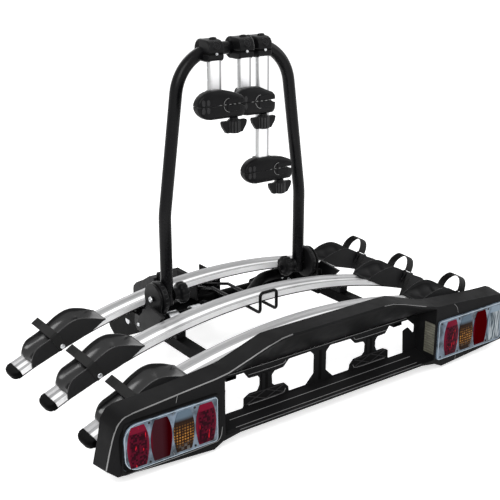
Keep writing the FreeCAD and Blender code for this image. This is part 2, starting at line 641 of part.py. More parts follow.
def wheel_cup(index, side):
    """A cradle that sits over the rail, with a channel for the wheel between two side walls."""
    front = rail_front(index)
    y_range = (front - CUP_WALL, front + RAIL_WIDTH + CUP_WALL)
    crest = [(x, rail_z(x) + height) for x, height in CUP_PROFILE]
    foot = [(x, rail_z(x) + CUP_FOOT_HEIGHT) for x, height in reversed(CUP_PROFILE)]
    body = plate_xz(crest + foot[1:], y_range, CUP_CORNER)
    gap = SEAT_GAP
    overrun = RAIL_WIDTH / 2
    span = (rail_angle(CUP_PROFILE[0][0] - overrun), rail_angle(CUP_PROFILE[-1][0] + overrun))
    under = along_bow([(-gap, -5), (RAIL_WIDTH + gap, -5), (RAIL_WIDTH + gap, RAIL_HEIGHT + gap),
                       (-gap, RAIL_HEIGHT + gap)], front, span)
    middle = RAIL_WIDTH / 2
    trough = [(middle + CUP_CHANNEL_RADIUS, CUP_CHANNEL_TOP), (middle - CUP_CHANNEL_RADIUS, CUP_CHANNEL_TOP)]
    for step in range(CUP_CHANNEL_FACETS + 1):
        turn = math.pi * step / CUP_CHANNEL_FACETS
        trough.append((middle - CUP_CHANNEL_RADIUS * math.cos(turn), CUP_CHANNEL_CENTRE - CUP_CHANNEL_RADIUS * math.sin(turn)))
    channel = along_bow(trough, front, (span[0], span[1]))
    return on_side(body.cut([under, channel]), side)


def strap_place(shape, index, side):
    """Lean a strap modelled at the origin, and seat it on a cup's crest."""
    left = (LEFT_STRAP_LEAN, LEFT_STRAP_X, LEFT_STRAP_SEAT)
    right = (RIGHT_STRAP_LEAN, RIGHT_STRAP_X, RIGHT_STRAP_SEAT)
    lean, x, seat = right if side > 0 else left
    placed = shape.copy()
    placed.rotate(Vector(0, 0, 0), Y_AXIS, lean)
    placed.translate(Vector(x, rail_front(index), rail_z(x) + seat))
    return on_side(placed, side)


def band(path, width):
    """A flat strap of even thickness along a (y, z) path; the second list is its other face."""
    outline = path[0] + path[1][::-1]
    return plate_yz(outline, (-width / 2, width / 2), 1.5)


def left_strap(index):
    """A strap from a rivet on the rear-facing wall, over both walls, with its tail past the cup."""
    thick = STRAP_THICKNESS
    front = -CUP_WALL - SLIDE_GAP
    end = RAIL_WIDTH + CUP_WALL + STRAP_OVERHANG
    rise = SLIDE_GAP + STRAP_END_RISE
    lower = [(front, -STRAP_DROP), (front, SLIDE_GAP), (end, rise)]
    upper = [(front - thick, -STRAP_DROP), (front - thick, thick + SLIDE_GAP), (end, rise + thick)]
    return strap_place(band((lower, upper), LEFT_STRAP_WIDTH), index, -1)


def right_strap(index):
    """A strap that arches over the channel from the far wall to the buckle."""
    thick = STRAP_THICKNESS
    front = -CUP_WALL - SLIDE_GAP - thick
    back = RAIL_WIDTH + CUP_WALL + SLIDE_GAP + thick
    rise = STRAP_ARCH_RISE
    outer = [(front, 0), (front + 2, rise * 0.6), (front + 16, rise), (back - 22, rise), (back - 3, rise * 0.5),
             (back, 0), (back, -14)]
    inner = [(front + thick, 0), (front + 2 + thick, rise * 0.55), (front + 17, rise - thick),
             (back - 23, rise - thick), (back - 3 - thick, rise * 0.45), (back - thick, 0), (back - thick, -14)]
    return strap_place(band((outer, inner), RIGHT_STRAP_WIDTH), index, 1)


def strap_tail(index):
    """The loose end of a right strap, hanging before the buckle."""
    thick = STRAP_THICKNESS
    front = -CUP_WALL - SLIDE_GAP - thick
    tail_face = front - BUCKLE_DEPTH + 6
    outline = [(tail_face, -4), (tail_face - thick, -4), (tail_face - 6 - thick, -STRAP_TAIL_LENGTH),
               (tail_face - 6, -STRAP_TAIL_LENGTH)]
    half = RIGHT_STRAP_WIDTH / 2 - 2
    return strap_place(plate_yz(outline, (-half, half)), index, 1)


def strap_buckle(index):
    thick = STRAP_THICKNESS
    front = -CUP_WALL - SLIDE_GAP - thick
    half = BUCKLE_WIDTH / 2
    profile = [(front + thick, 0), (front + thick, -BUCKLE_HEIGHT), (front - BUCKLE_DEPTH + 6 + thick, -BUCKLE_HEIGHT),
               (front - BUCKLE_DEPTH + 6, -10), (front - BUCKLE_DEPTH + 6, 0)]
    return strap_place(plate_yz(profile, (-half, half)), index, 1)


def strap_rivet(index):
    front = -CUP_WALL - SLIDE_GAP - STRAP_THICKNESS
    height = -STRAP_DROP + RIVET_RADIUS + 3
    return strap_place(rod((0, front - 2, height), (0, front, height), RIVET_RADIUS), index, -1)


# Light board

def full_outline(half):
    """A half outline and its mirror image, as one closed list."""
    return half + [(-x, z) for x, z in reversed(half)]


def inset_outline(half, wall):
    """A half outline drawn inwards by a wall."""
    centre_z = (LAMP_TOP + LAMP_BOTTOM) / 2
    result = []
    for x, z in half:
        shift_x = wall if x > 500 else 0.0
        shift_z = wall if z > centre_z else -wall
        result.append((x - shift_x, z - shift_z))
    return result


def between(front, front_y, back, back_y):
    """A solid whose sides are straight from one outline to the other."""
    first = Part.makePolygon([Vector(x, front_y, z) for x, z in front + front[:1]])
    second = Part.makePolygon([Vector(x, back_y, z) for x, z in back + back[:1]])
    return Part.makeLoft([first, second], True, True)


def hood_wall(front_y, back_y, front_drop, back_top, back_bottom):
    """A sloping wall from under the board's crease back to the grid."""
    crease = BOARD_FRONT[:CREASE_COUNT]
    limit = [(min(x, GRID_HALF_WIDTH), z) for x, z in crease]
    top = [(-x, z - 1) for x, z in reversed(limit)] + [(x, z - 1) for x, z in limit]
    low = [(x, z - front_drop) for x, z in reversed(top)]
    rear_top = [(x, back_top) for x, z in top]
    rear_low = [(x, back_bottom) for x, z in reversed(top)]
    return between(top + low, front_y, rear_top + rear_low, back_y)


def light_board():
    front = full_outline(BOARD_FRONT)
    back = full_outline(BOARD_BACK)
    outer = between(front, BOARD_FRONT_Y, back, BOARD_BACK_Y)
    inner_front = full_outline(inset_outline(BOARD_FRONT, BOARD_WALL))
    inner_back = full_outline(inset_outline(BOARD_BACK, BOARD_WALL))
    inner = between(inner_front, BOARD_FRONT_Y + BOARD_WALL, inner_back, BOARD_BACK_Y + 0.01)
    shell = outer.cut(inner)
    crease = BOARD_FRONT[:CREASE_COUNT]
    top = [(-x, z - 5) for x, z in reversed(crease)] + [(x, z - 5) for x, z in crease]
    mouth = plate_xz(top + [(crease[-1][0], 9), (-crease[-1][0], 9)], (BOARD_FRONT_Y - 1, BOARD_FRONT_Y + BOARD_WALL + 1))
    shell = shell.cut(mouth)
    openings = [on_side(lamp_block(SEAT_GAP, (BOARD_FRONT_Y - 5, BOARD_FRONT_Y + 10)), side) for side in SIDES]
    shell = shell.cut(openings)
    hood = hood_wall(BOARD_FRONT_Y, GRID_FRONT_Y + GRID_THICKNESS, 4.5, GRID_TOP + 6, GRID_TOP)
    walls = [on_side(box((GRID_HALF_WIDTH - 4, GRID_HALF_WIDTH), (BOARD_FRONT_Y + 1, GRID_FRONT_Y + GRID_THICKNESS),
                         (0, 138)), side) for side in SIDES]
    tray_outline = [(BOARD_FRONT_Y + behind, z) for behind, z in TRAY_TOP + TRAY_UNDERSIDE]
    tray = plate_yz(tray_outline, (-GRID_HALF_WIDTH + 2, GRID_HALF_WIDTH - 2))
    return joined([shell, hood, tray] + walls)


def number_plate_grid():
    """The upright panel behind the number plate, with windows that save weight."""
    half = GRID_HALF_WIDTH - 4
    y_range = (GRID_FRONT_Y, GRID_FRONT_Y + GRID_THICKNESS)
    panel = box((-half, half), y_range, (2, GRID_TOP))
    cut_range = (y_range[0] - 1, y_range[1] + 1)
    windows = []
    for outline in (INNER_WINDOW, OUTER_WINDOW):
        window = plate_xz([(min(x, half - 8), z) for x, z in outline], cut_range, WINDOW_CORNER)
        windows += [window, mirrored(window)]
    pads = [on_side(box((PLATE_PAD_X - PLATE_PAD_WIDTH / 2, PLATE_PAD_X + PLATE_PAD_WIDTH / 2),
                        (GRID_FRONT_Y - PLATE_PAD_THICKNESS, GRID_FRONT_Y + 1), PLATE_PAD_Z), side) for side in SIDES]
    return joined([panel.cut(windows)] + pads)


# Lamps

def lamp_block(margin, y_range):
    """The outline of a lamp, grown by a margin, on the right side."""
    points = [(LAMP_INNER_X - margin, LAMP_BOTTOM - margin), (LAMP_OUTER_X + margin, LAMP_BOTTOM - margin),
              (LAMP_OUTER_X - 8 + margin, LAMP_TOP + margin), (LAMP_INNER_X - margin, LAMP_TOP + margin)]
    return plate_xz(points, y_range, LAMP_CORNER)


def lamp_housing(side):
    body = lamp_block(0, (LAMP_FRONT_Y, LAMP_FRONT_Y + LAMP_DEPTH))
    hollow = lamp_block(-LAMP_WALL, (LAMP_FRONT_Y + LAMP_WALL, LAMP_FRONT_Y + LAMP_DEPTH - LAMP_WALL))
    return on_side(body.cut(hollow), side)


def lens(place, side, thickness):
    """A barrel-shaped lens on a lamp's face; places count from the inner end."""
    x = LAMP_INNER_X + LENS_MARGIN + place * LENS_PITCH
    low = LAMP_CENTRE_Z - LENS_HALF_HEIGHT
    high = LAMP_CENTRE_Z + LENS_HALF_HEIGHT
    half = LENS_PITCH / 2 - LENS_BULGE - LENS_SPACING
    y = LAMP_FRONT_Y - thickness

    def point(px, pz):
        return Vector(px, y, pz)

    edges = [Part.LineSegment(point(x - half, low), point(x + half, low)).toShape(),
             Part.Arc(point(x + half, low), point(x + half + LENS_BULGE, LAMP_CENTRE_Z), point(x + half, high)).toShape(),
             Part.LineSegment(point(x + half, high), point(x - half, high)).toShape(),
             Part.Arc(point(x - half, high), point(x - half - LENS_BULGE, LAMP_CENTRE_Z), point(x - half, low)).toShape()]
    return on_side(Part.Face(Part.Wire(edges)).extrude(Y_AXIS * thickness), side)


def lamp_screws():
    screws = []
    for side in SIDES:
        for place in (0.5, LENS_COUNT - 1.5):
            x = LAMP_INNER_X + LENS_MARGIN + place * LENS_PITCH
            for z in (LAMP_TOP - LAMP_SCREW_INSET, LAMP_BOTTOM + LAMP_SCREW_INSET):
                screws.append(rod((side * x, LAMP_FRONT_Y - 1.5, z), (side * x, LAMP_FRONT_Y, z), LAMP_SCREW_RADIUS))
    return screws


# Hoop with its hubs and knobs

def hoop_path():
    """The hoop's middle line, from the left foot over the top to the right foot."""
    right = [(HOOP_TOP_X, HOOP_Y, HOOP_TOP_Z), (HOOP_FOOT_X, HOOP_Y, HOOP_KNEE_Z),
             (HOOP_FOOT_X, HOOP_Y, HINGE_Z - HOOP_RADIUS - 6)]
    return [(-x, y, z) for x, y, z in reversed(right)] + right


def hoop_solid(radius):
    """The hoop is swept in one run with large top bends and gentle knees."""
    points = [Vector(*point) for point in hoop_path()]
    bends = (HOOP_KNEE_RADIUS, HOOP_BEND_RADIUS, HOOP_BEND_RADIUS, HOOP_KNEE_RADIUS)
    edges = []
    previous = points[0]
    for index, bend in enumerate(bends, 1):
        corner = points[index]
        before = points[index - 1] - corner
        after = points[index + 1] - corner
        cut = bend * math.tan((math.pi - before.getAngle(after)) / 2)
        start = corner + before.normalize() * cut
        end = corner + after.normalize() * cut
        edges.append(Part.LineSegment(previous, start).toShape())
        edges.append(corner_arc(start, corner, end))
        previous = end
    edges.append(Part.LineSegment(previous, points[-1]).toShape())
    circle = Part.Wire(Part.makeCircle(radius, points[0], Z_AXIS))
    return Part.Wire(edges).makePipeShell([circle], True, False)


def hoop():
    holes = [rod((side * (HOOP_FOOT_X - 30), HOOP_Y, HINGE_Z), (side * (HOOP_FOOT_X + 30), HOOP_Y, HINGE_Z),
                 HINGE_PIN_RADIUS) for side in SIDES]
    return hoop_solid(HOOP_RADIUS).cut([hoop_solid(HOOP_RADIUS - HOOP_WALL)] + holes)


def hinge_hub(side):
    """A dished disc between the leg and the hinge plate, and the pin through both."""
    disc = rod((HUB_INNER_X, HOOP_Y, HINGE_Z), (HUB_OUTER_X, HOOP_Y, HINGE_Z), HUB_RADIUS)
    rim = [edge for edge in disc.Edges if edge.Curve.TypeId == "Part::GeomCircle"]
    disc = disc.makeFillet(5.0, rim)
    pin_end = HINGE_PLATE_X + HINGE_PLATE_THICKNESS + RUNNING_GAP * 4
    pin = rod((KNOB_INNER_X + 4, HOOP_Y, HINGE_Z), (pin_end, HOOP_Y, HINGE_Z), HINGE_PIN_RADIUS)
    head = rod((pin_end, HOOP_Y, HINGE_Z), (pin_end + 4, HOOP_Y, HINGE_Z), HINGE_PIN_RADIUS * BOLT_HEAD_FACTOR)
    return on_side(joined([disc, pin, head]), side)


def fold_knob(side):
    """A fluted knob on the hinge pin, inside the leg."""
    rim = rod((KNOB_INNER_X, HOOP_Y, HINGE_Z), (KNOB_RIM_X, HOOP_Y, HINGE_Z), KNOB_RADIUS)
    waist = Part.makeCone(KNOB_RADIUS - 3, KNOB_WAIST_RADIUS, KNOB_OUTER_X - KNOB_RIM_X,
                          Vector(KNOB_RIM_X, HOOP_Y, HINGE_Z), X_AXIS)
    flutes = []
    for step in range(KNOB_FLUTES):
        angle = 2 * math.pi * step / KNOB_FLUTES
        y = HOOP_Y + (KNOB_RADIUS + 1.5) * math.cos(angle)
        z = HINGE_Z + (KNOB_RADIUS + 1.5) * math.sin(angle)
        flutes.append(rod((KNOB_INNER_X + 6, y, z), (KNOB_OUTER_X + 1, y, z), KNOB_FLUTE_RADIUS))
    bore = rod((KNOB_INNER_X + 3, HOOP_Y, HINGE_Z), (KNOB_OUTER_X + 1, HOOP_Y, HINGE_Z),
               HINGE_PIN_RADIUS + RUNNING_GAP)
    return on_side(joined([rim, waist]).cut(flutes + [bore]), side)


# Wire handle, its guide and its spring

def tilt_handle():
    left, right = WIRE_LEG_X
    start_y = CARRIAGE_Y[0] + 4
    join_z = CARRIAGE_Z[1] - WIRE_RADIUS - 2
    outward = [(left, start_y, join_z), (left, WIRE_SLOPE_Y, WIRE_Z), (left, WIRE_LOOP_Y, WIRE_Z),
               (left, WIRE_LOOP_Y, WIRE_LOOP_TOP)]
    path = outward + [(right, y, z) for x, y, z in reversed(outward)]
    wire = pipe(path, WIRE_BEND, WIRE_RADIUS)
    carriage = box(CARRIAGE_X, CARRIAGE_Y, CARRIAGE_Z)
    tongue = box(TONGUE_X, (CARRIAGE_Y[1], TONGUE_END_Y), (CARRIAGE_Z[0], CARRIAGE_Z[0] + TONGUE_HEIGHT))
    return joined([carriage, tongue, wire])


def handle_guide():
    """A bracket under the first rail that holds the handle's carriage in a channel."""
    gap = SLIDE_GAP
    wall = GUIDE_WALL
    x_range = (CARRIAGE_X[0] - gap - wall, CARRIAGE_X[1] + gap + wall)
    cheek_z = (CARRIAGE_Z[0] - gap - wall, RAIL_APEX_Z)
    seat_y = spring_start() - SPRING_LENGTH
    middle = sum(CARRIAGE_X) / 2
    cheeks = [box((x_range[0], x_range[0] + wall), (GUIDE_FRONT_Y, CARRIAGE_Y[1]), cheek_z),
              box((x_range[1] - wall, x_range[1]), (GUIDE_FRONT_Y, CARRIAGE_Y[1]), cheek_z)]
    floor = box(x_range, (seat_y - wall, CARRIAGE_Y[1]), (cheek_z[0], cheek_z[0] + wall))
    seat = box((middle - SPRING_SEAT_HALF_WIDTH, middle + SPRING_SEAT_HALF_WIDTH), (seat_y - wall, seat_y),
               (cheek_z[0], CARRIAGE_Z[1]))
    flange = box(x_range, (GUIDE_FRONT_Y, GUIDE_FRONT_Y + GUIDE_FLANGE_LENGTH), (RAIL_APEX_Z - 8, RAIL_APEX_Z))
    return joined(cheeks + [floor, seat, flange]).common(below_bow((GUIDE_FRONT_Y, CARRIAGE_Y[1])))


def spring_start():
    """The y value of the spring's end that bears on the carriage."""
    return CARRIAGE_Y[0] - SLIDE_GAP


def helix_point(angle, pitch):
    """A point on the spring's middle line about the z axis, and the direction there."""
    place = Vector(SPRING_RADIUS * math.cos(angle), SPRING_RADIUS * math.sin(angle), pitch * angle / (2 * math.pi))
    along = Vector(-SPRING_RADIUS * math.sin(angle), SPRING_RADIUS * math.cos(angle), pitch / (2 * math.pi))
    return place, along.normalize()


def biarc(first, second):
    """Two arcs that join two points and keep the direction at both."""
    start, leaving = first
    end, arriving = second
    chord = end - start
    both = leaving + arriving
    bend = 2 * (1 - leaving.dot(arriving))
    reach = (math.sqrt(chord.dot(both) ** 2 + bend * chord.dot(chord)) - chord.dot(both)) / bend
    near = start + leaving * reach
    far = end - arriving * reach
    middle = (near + far) * 0.5
    return [corner_arc(start, near, middle), corner_arc(middle, far, end)]


def handle_spring():
    """A coil behind the carriage that pushes the tongue home."""
    pitch = (SPRING_LENGTH - 2 * SPRING_WIRE_RADIUS) / SPRING_TURNS
    quarters = [helix_point(step * math.pi / 2, pitch) for step in range(4 * SPRING_TURNS + 1)]
    edges = []
    for first, second in zip(quarters, quarters[1:]):
        edges += biarc(first, second)
    start, along = quarters[0]
    circle = Part.Wire(Part.makeCircle(SPRING_WIRE_RADIUS, start, along))
    coil = Part.Wire(edges).makePipeShell([circle], True, False)
    gaps = [(helix_point(step * 0.2 + 2 * math.pi, pitch)[0] - helix_point(step * 0.2, pitch)[0]).Length
            for step in range(30)]
    print("spring: least gap between turns", round(min(gaps) - 2 * SPRING_WIRE_RADIUS, 2))
    coil.translate(Vector(0, 0, SPRING_WIRE_RADIUS))
    coil.rotate(Vector(0, 0, 0), X_AXIS, 90)
    coil.translate(Vector(sum(CARRIAGE_X) / 2, spring_start(), sum(CARRIAGE_Z) / 2))
    return coil


# Holding arms: the same pieces three times, each about the hoop's top bar

def arm_place(shape):
    """Move a shape modelled about the top bar's middle line to its place."""
    placed = shape.copy()
    placed.translate(Vector(0, HOOP_Y, HOOP_TOP_Z))
    return placed


def stadium(width, depth, z_range):
    """An upright bar of oval section, centred on the z axis."""
    half = (width - depth) / 2
    middle = box((-half, half), (-depth / 2, depth / 2), z_range)
    ends = [Part.makeCylinder(depth / 2, z_range[1] - z_range[0], Vector(side * half, 0, z_range[0])) for side in SIDES]
    return joined([middle] + ends)


def bar_solid(index, inset, overrun):
    """A bar's oval outside, or its inside when it is drawn in by a wall."""
    z_range = (BAR_END - ARM_LENGTH[index] - overrun, BAR_TOP + overrun)
    bar = stadium(BAR_WIDTH - 2 * inset, BAR_DEPTH - 2 * inset, z_range)
    bar.translate(Vector(ARM_BAR_X[index], ARM_BAR_OFFSET, 0))
    return bar


def arm_bar(index):
    return arm_place(bar_solid(index, 0, 0).cut(bar_solid(index, BAR_WALL, 1)))


def arm_clamp(index):
    """A collar round the top bar, split behind, with a socket before it for the arm's bar."""
    x_range = CLAMP_X[index]
    collar = rod((x_range[0], 0, 0), (x_range[1], 0, 0), CLAMP_RADIUS)
    half = BAR_WIDTH / 2 + SOCKET_SIDE_WALL
    block_x = (min(x_range[0], ARM_BAR_X[index] - half), max(x_range[1], ARM_BAR_X[index] + half))
    block_y = (ARM_BAR_OFFSET - BAR_DEPTH / 2 - SOCKET_WALL, ARM_BAR_OFFSET + BAR_DEPTH / 2 + CLAMP_BACK_WALL)
    block = box(block_x, block_y, (-CLAMP_RADIUS, CLAMP_RADIUS - CLAMP_DOME_RADIUS))
    dome_y = sum(block_y) / 2
    dome = rod((block_x[0], dome_y, CLAMP_RADIUS - CLAMP_DOME_RADIUS),
               (block_x[1], dome_y, CLAMP_RADIUS - CLAMP_DOME_RADIUS), CLAMP_DOME_RADIUS)
    bore = rod((x_range[0] - 1, 0, 0), (x_range[1] + 1, 0, 0), HOOP_RADIUS + SLIDE_GAP)
    split = box((x_range[0] - 1, x_range[1] + 1), (0, 2 * CLAMP_RADIUS), (-CLAMP_SPLIT / 2, CLAMP_SPLIT / 2))
    return arm_place(joined([collar, block, dome]).cut([bore, bar_solid(index, 0, 0), split]))


def jaw_half_outline(index, top):
    """Half of the jaw's outline as (x, z): round at the mouth, chamfered above and squared below the hinge."""
    start = ARM_JAW_X[index]
    end = start + ARM_JAW_LENGTH[index]
    middle = -ARM_LENGTH[index]
    sign = 1 if top else -1
    half = JAW_HEIGHT / 2
    split = sign * JAW_SPLIT / 2
    heel = [(end - 24, sign * (half - 7)), (end - 4, sign * 16), (end, sign * 12)]
    if not top:
        heel = [(end - 5, -half), (end, 5 - half)]
    points = [(start, split), (start + 3, sign * 14), (start + 16, sign * (half - 5)), (start + 34, sign * half),
              (start + 66, sign * half)] + heel + [(end, split)]
    return [(x, middle + z) for x, z in points]


def jaw_hinge(index):
    """The place of a jaw's hinge, at the squared end."""
    return (ARM_JAW_X[index] + ARM_JAW_LENGTH[index] - JAW_HINGE_INSET, -ARM_LENGTH[index])


def upper_jaw(index):
    y_range = (ARM_JAW_Y[index] - JAW_DEPTH / 2, ARM_JAW_Y[index] + JAW_DEPTH / 2)
    body = plate_xz(jaw_half_outline(index, True), y_range)
    socket_y = (ARM_JAW_Y[index], ARM_BAR_OFFSET + BAR_DEPTH / 2 + SOCKET_WALL)
    half = BAR_WIDTH / 2 + SOCKET_SIDE_WALL
    middle = -ARM_LENGTH[index]
    socket = box((ARM_BAR_X[index] - half, ARM_BAR_X[index] + half), socket_y, (middle + 1, middle + JAW_HEIGHT / 2))
    hinge_x, hinge_z = jaw_hinge(index)
    knuckle_space = rod((hinge_x, y_range[0] + 6, hinge_z), (hinge_x, y_range[1] - 6, hinge_z),
                        JAW_HINGE_RADIUS + SLIDE_GAP)
    ears = [rod((hinge_x, y_range[0], hinge_z), (hinge_x, y_range[0] + 6, hinge_z), JAW_HINGE_RADIUS),
            rod((hinge_x, y_range[1] - 6, hinge_z), (hinge_x, y_range[1], hinge_z), JAW_HINGE_RADIUS)]
    pin = rod((hinge_x, y_range[0], hinge_z), (hinge_x, y_range[1], hinge_z), 2.5)
    body = joined([body, socket] + ears).cut([knuckle_space, bar_solid(index, 0, 0)])
    return arm_place(joined([body, pin]))


def lower_jaw(index):
    y_range = (ARM_JAW_Y[index] - JAW_DEPTH / 2, ARM_JAW_Y[index] + JAW_DEPTH / 2)
    body = plate_xz(jaw_half_outline(index, False), y_range)
    hinge_x, hinge_z = jaw_hinge(index)
    ear_space = [rod((hinge_x, y_range[0] - 1, hinge_z), (hinge_x, y_range[0] + 6 + SLIDE_GAP, hinge_z),
                     JAW_HINGE_RADIUS + SLIDE_GAP),
                 rod((hinge_x, y_range[1] - 6 - SLIDE_GAP, hinge_z), (hinge_x, y_range[1] + 1, hinge_z),
                     JAW_HINGE_RADIUS + SLIDE_GAP)]
    knuckle = rod((hinge_x, y_range[0] + 6 + SLIDE_GAP, hinge_z), (hinge_x, y_range[1] - 6 - SLIDE_GAP, hinge_z),
                  JAW_HINGE_RADIUS)
    pin = rod((hinge_x, y_range[0] - 1, hinge_z), (hinge_x, y_range[1] + 1, hinge_z), 2.5 + RUNNING_GAP)
    heel = box((hinge_x, hinge_x + 30), (y_range[0] - 1, y_range[1] + 1), (hinge_z - 6, hinge_z + 5))
    body = joined([body.cut(ear_space + [heel]), knuckle]).cut(pin)
    wing_x, wing_z = wing_place(index)
    screw = rod((wing_x, ARM_JAW_Y[index], wing_z - 8), (wing_x, ARM_JAW_Y[index], wing_z + 14),
                WING_SCREW_RADIUS + RUNNING_GAP)
    return arm_place(body.cut(screw))


def wing_place(index):
    """Where a wing knob's neck meets the lower jaw."""
    end = ARM_JAW_X[index] + ARM_JAW_LENGTH[index]
    return (end - WING_X_INSET[index], -ARM_LENGTH[index] - JAW_HEIGHT / 2 + 4.6)


def wing_knob(index):
    """A wing nut with a crescent of two wings, a fluted hub and a short neck."""
    x, z = wing_place(index)
    y = ARM_JAW_Y[index]
    top = z - WING_NECK_LENGTH + 2
    low = top - WING_HEIGHT
    outline = [(x - WING_RADIUS, top), (x - WING_RADIUS + 3, top - 12), (x - WING_FOOT_RADIUS, low),
               (x + WING_FOOT_RADIUS, low), (x + WING_RADIUS - 3, top - 12), (x + WING_RADIUS, top)]
    wings = plate_xz(outline, (y - WING_THICKNESS / 2, y + WING_THICKNESS / 2), 4)
    hub = rod((x, y, low), (x, y, top + 2), WING_HUB_RADIUS)
    neck = rod((x, y, top), (x, y, z - SLIDE_GAP - 4.6), WING_NECK_RADIUS)
    screw = rod((x, y, top), (x, y, z + 12), WING_SCREW_RADIUS)
    return arm_place(joined([wings, hub, neck, screw]))


def build():
    os.makedirs("parts", exist_ok=True)
    save("coupling_head", [coupling_head()])
    save("coupling_frame", [coupling_frame()])
    save("ball_lock_jaw", [ball_lock_jaw()])
    save("pivot_tube", [pivot_tube()])
    save("coupling_bolts", pivot_bolts() + [lever_pin()])
    save("coupling_lever", [coupling_lever()])
    save("beam_left", [mirrored(beam())])
    save("beam_right", [beam()])
    save("beam_extensions", [on_side(beam_extension(), side) for side in SIDES])
    save("gusset_plates", [on_side(gusset_plate(), side) for side in SIDES])
    save("cross_tube", [cross_tube()])
    save("tube_brackets", [tube_bracket(x) for x in TUBE_BRACKET_X])
    save("frame_bolts", frame_bolts())
    save("rail_end_caps", [rail_cap(index, side) for index in range(RAIL_COUNT) for side in SIDES])
    save("rail_saddles", [rail_saddle(index, side) for index in range(RAIL_COUNT) for side in SIDES])
    for index in range(RAIL_COUNT):
        save("rail_" + str(index + 1), [rail(index)])
        save("wheel_cup_left_" + str(index + 1), [wheel_cup(index, -1)])
        save("wheel_cup_right_" + str(index + 1), [wheel_cup(index, 1)])
    save("straps_left", [left_strap(index) for index in range(RAIL_COUNT)])
    save("straps_right", [right_strap(index) for index in range(RAIL_COUNT)]
         + [strap_tail(index) for index in range(RAIL_COUNT)])
    save("strap_buckles", [strap_buckle(index) for index in range(RAIL_COUNT)])
    save("strap_rivets", [strap_rivet(index) for index in range(RAIL_COUNT)])
    save("hinge_plate_left", [hinge_plate(-1)])
    save("hinge_plate_right", [hinge_plate(1)])
    save("light_board", [light_board()])
    save("number_plate_grid", [number_plate_grid()])
    save("lamp_housings", [lamp_housing(side) for side in SIDES])
    inner, amber, reflector, outer = range(LENS_COUNT)
    red = [lens(inner, -1, LENS_THICKNESS), lens(outer, -1, LENS_THICKNESS), lens(inner, 1, LENS_THICKNESS)]
    save("red_lenses", red)
    save("amber_lenses", [lens(amber, side, LENS_THICKNESS) for side in SIDES])
    save("red_reflectors", [lens(reflector, side, LENS_THICKNESS) for side in SIDES])
    save("clear_lens", [lens(outer, 1, LENS_THICKNESS)])
    save("lamp_screws", lamp_screws())
    save("handle_guide", [handle_guide()])
    save("handle_spring", [handle_spring()])
    save("tilt_handle", [tilt_handle()])
    save("hoop", [hoop()])
    save("hinge_hubs", [hinge_hub(side) for side in SIDES])
    save("fold_knob_left", [fold_knob(-1)])
    save("fold_knob_right", [fold_knob(1)])
    for index in range(3):
        number = str(index + 1)
        save("arm_clamp_" + number, [arm_clamp(index)])
        save("arm_bar_" + number, [arm_bar(index)])
        save("upper_jaw_" + number, [upper_jaw(index)])
        save("lower_jaw_" + number, [lower_jaw(index)])
        save("wing_knob_" + number, [wing_knob(index)])


build()
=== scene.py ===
import bpy
import bmesh
import json
import math
from mathutils import Matrix, Vector

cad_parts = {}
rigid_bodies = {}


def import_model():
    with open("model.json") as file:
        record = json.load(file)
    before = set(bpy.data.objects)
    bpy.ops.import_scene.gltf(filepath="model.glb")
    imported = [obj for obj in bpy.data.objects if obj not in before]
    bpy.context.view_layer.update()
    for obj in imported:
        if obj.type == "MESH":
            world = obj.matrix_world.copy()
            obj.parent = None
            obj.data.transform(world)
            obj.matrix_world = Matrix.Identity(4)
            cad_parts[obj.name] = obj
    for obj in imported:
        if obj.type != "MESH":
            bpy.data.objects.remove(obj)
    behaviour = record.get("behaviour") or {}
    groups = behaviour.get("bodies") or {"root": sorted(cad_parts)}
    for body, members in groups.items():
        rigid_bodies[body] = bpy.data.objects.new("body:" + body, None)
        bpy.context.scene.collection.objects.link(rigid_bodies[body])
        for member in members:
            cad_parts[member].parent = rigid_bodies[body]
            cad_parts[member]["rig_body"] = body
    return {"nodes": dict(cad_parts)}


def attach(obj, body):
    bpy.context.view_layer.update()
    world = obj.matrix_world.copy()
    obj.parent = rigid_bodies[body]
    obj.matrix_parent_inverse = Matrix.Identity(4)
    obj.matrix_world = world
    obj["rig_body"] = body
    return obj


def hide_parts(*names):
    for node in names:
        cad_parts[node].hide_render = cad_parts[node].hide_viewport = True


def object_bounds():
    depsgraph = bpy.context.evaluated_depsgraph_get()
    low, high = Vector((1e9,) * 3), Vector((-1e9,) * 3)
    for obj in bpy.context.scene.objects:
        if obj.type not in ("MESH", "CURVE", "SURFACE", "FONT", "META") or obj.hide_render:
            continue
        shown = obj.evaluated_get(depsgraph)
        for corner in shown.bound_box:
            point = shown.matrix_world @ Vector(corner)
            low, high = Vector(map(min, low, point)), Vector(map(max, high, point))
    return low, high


# The carrier's looks: finishes, straps, lamps, fasteners and trim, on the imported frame.
# Shapes are in millimetres, in the frame's own axes, and add_rings turns them into Blender's metres.

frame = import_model()
CAD_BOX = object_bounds()
NODES = frame["nodes"]
MM = 0.001
X = Vector((1, 0, 0))
Y = Vector((0, 1, 0))
Z = Vector((0, 0, 1))
SIDES = ((-1, "left"), (1, "right"))

# Rails: each is a bow about the frame's middle, with its top at the apex
RAIL_APEX = 150
RAIL_RADIUS = 1357.7
RAIL_HEIGHT = 15
RAIL_WIDTH = 54
RAIL_PITCH = 180
RAIL_FRONTS = (-320, -500, -680)
RAIL_REACH = 549
SHADE_LINE_REACH = 548
CAP_LENGTH = 12
CAP_WALL = 0.9

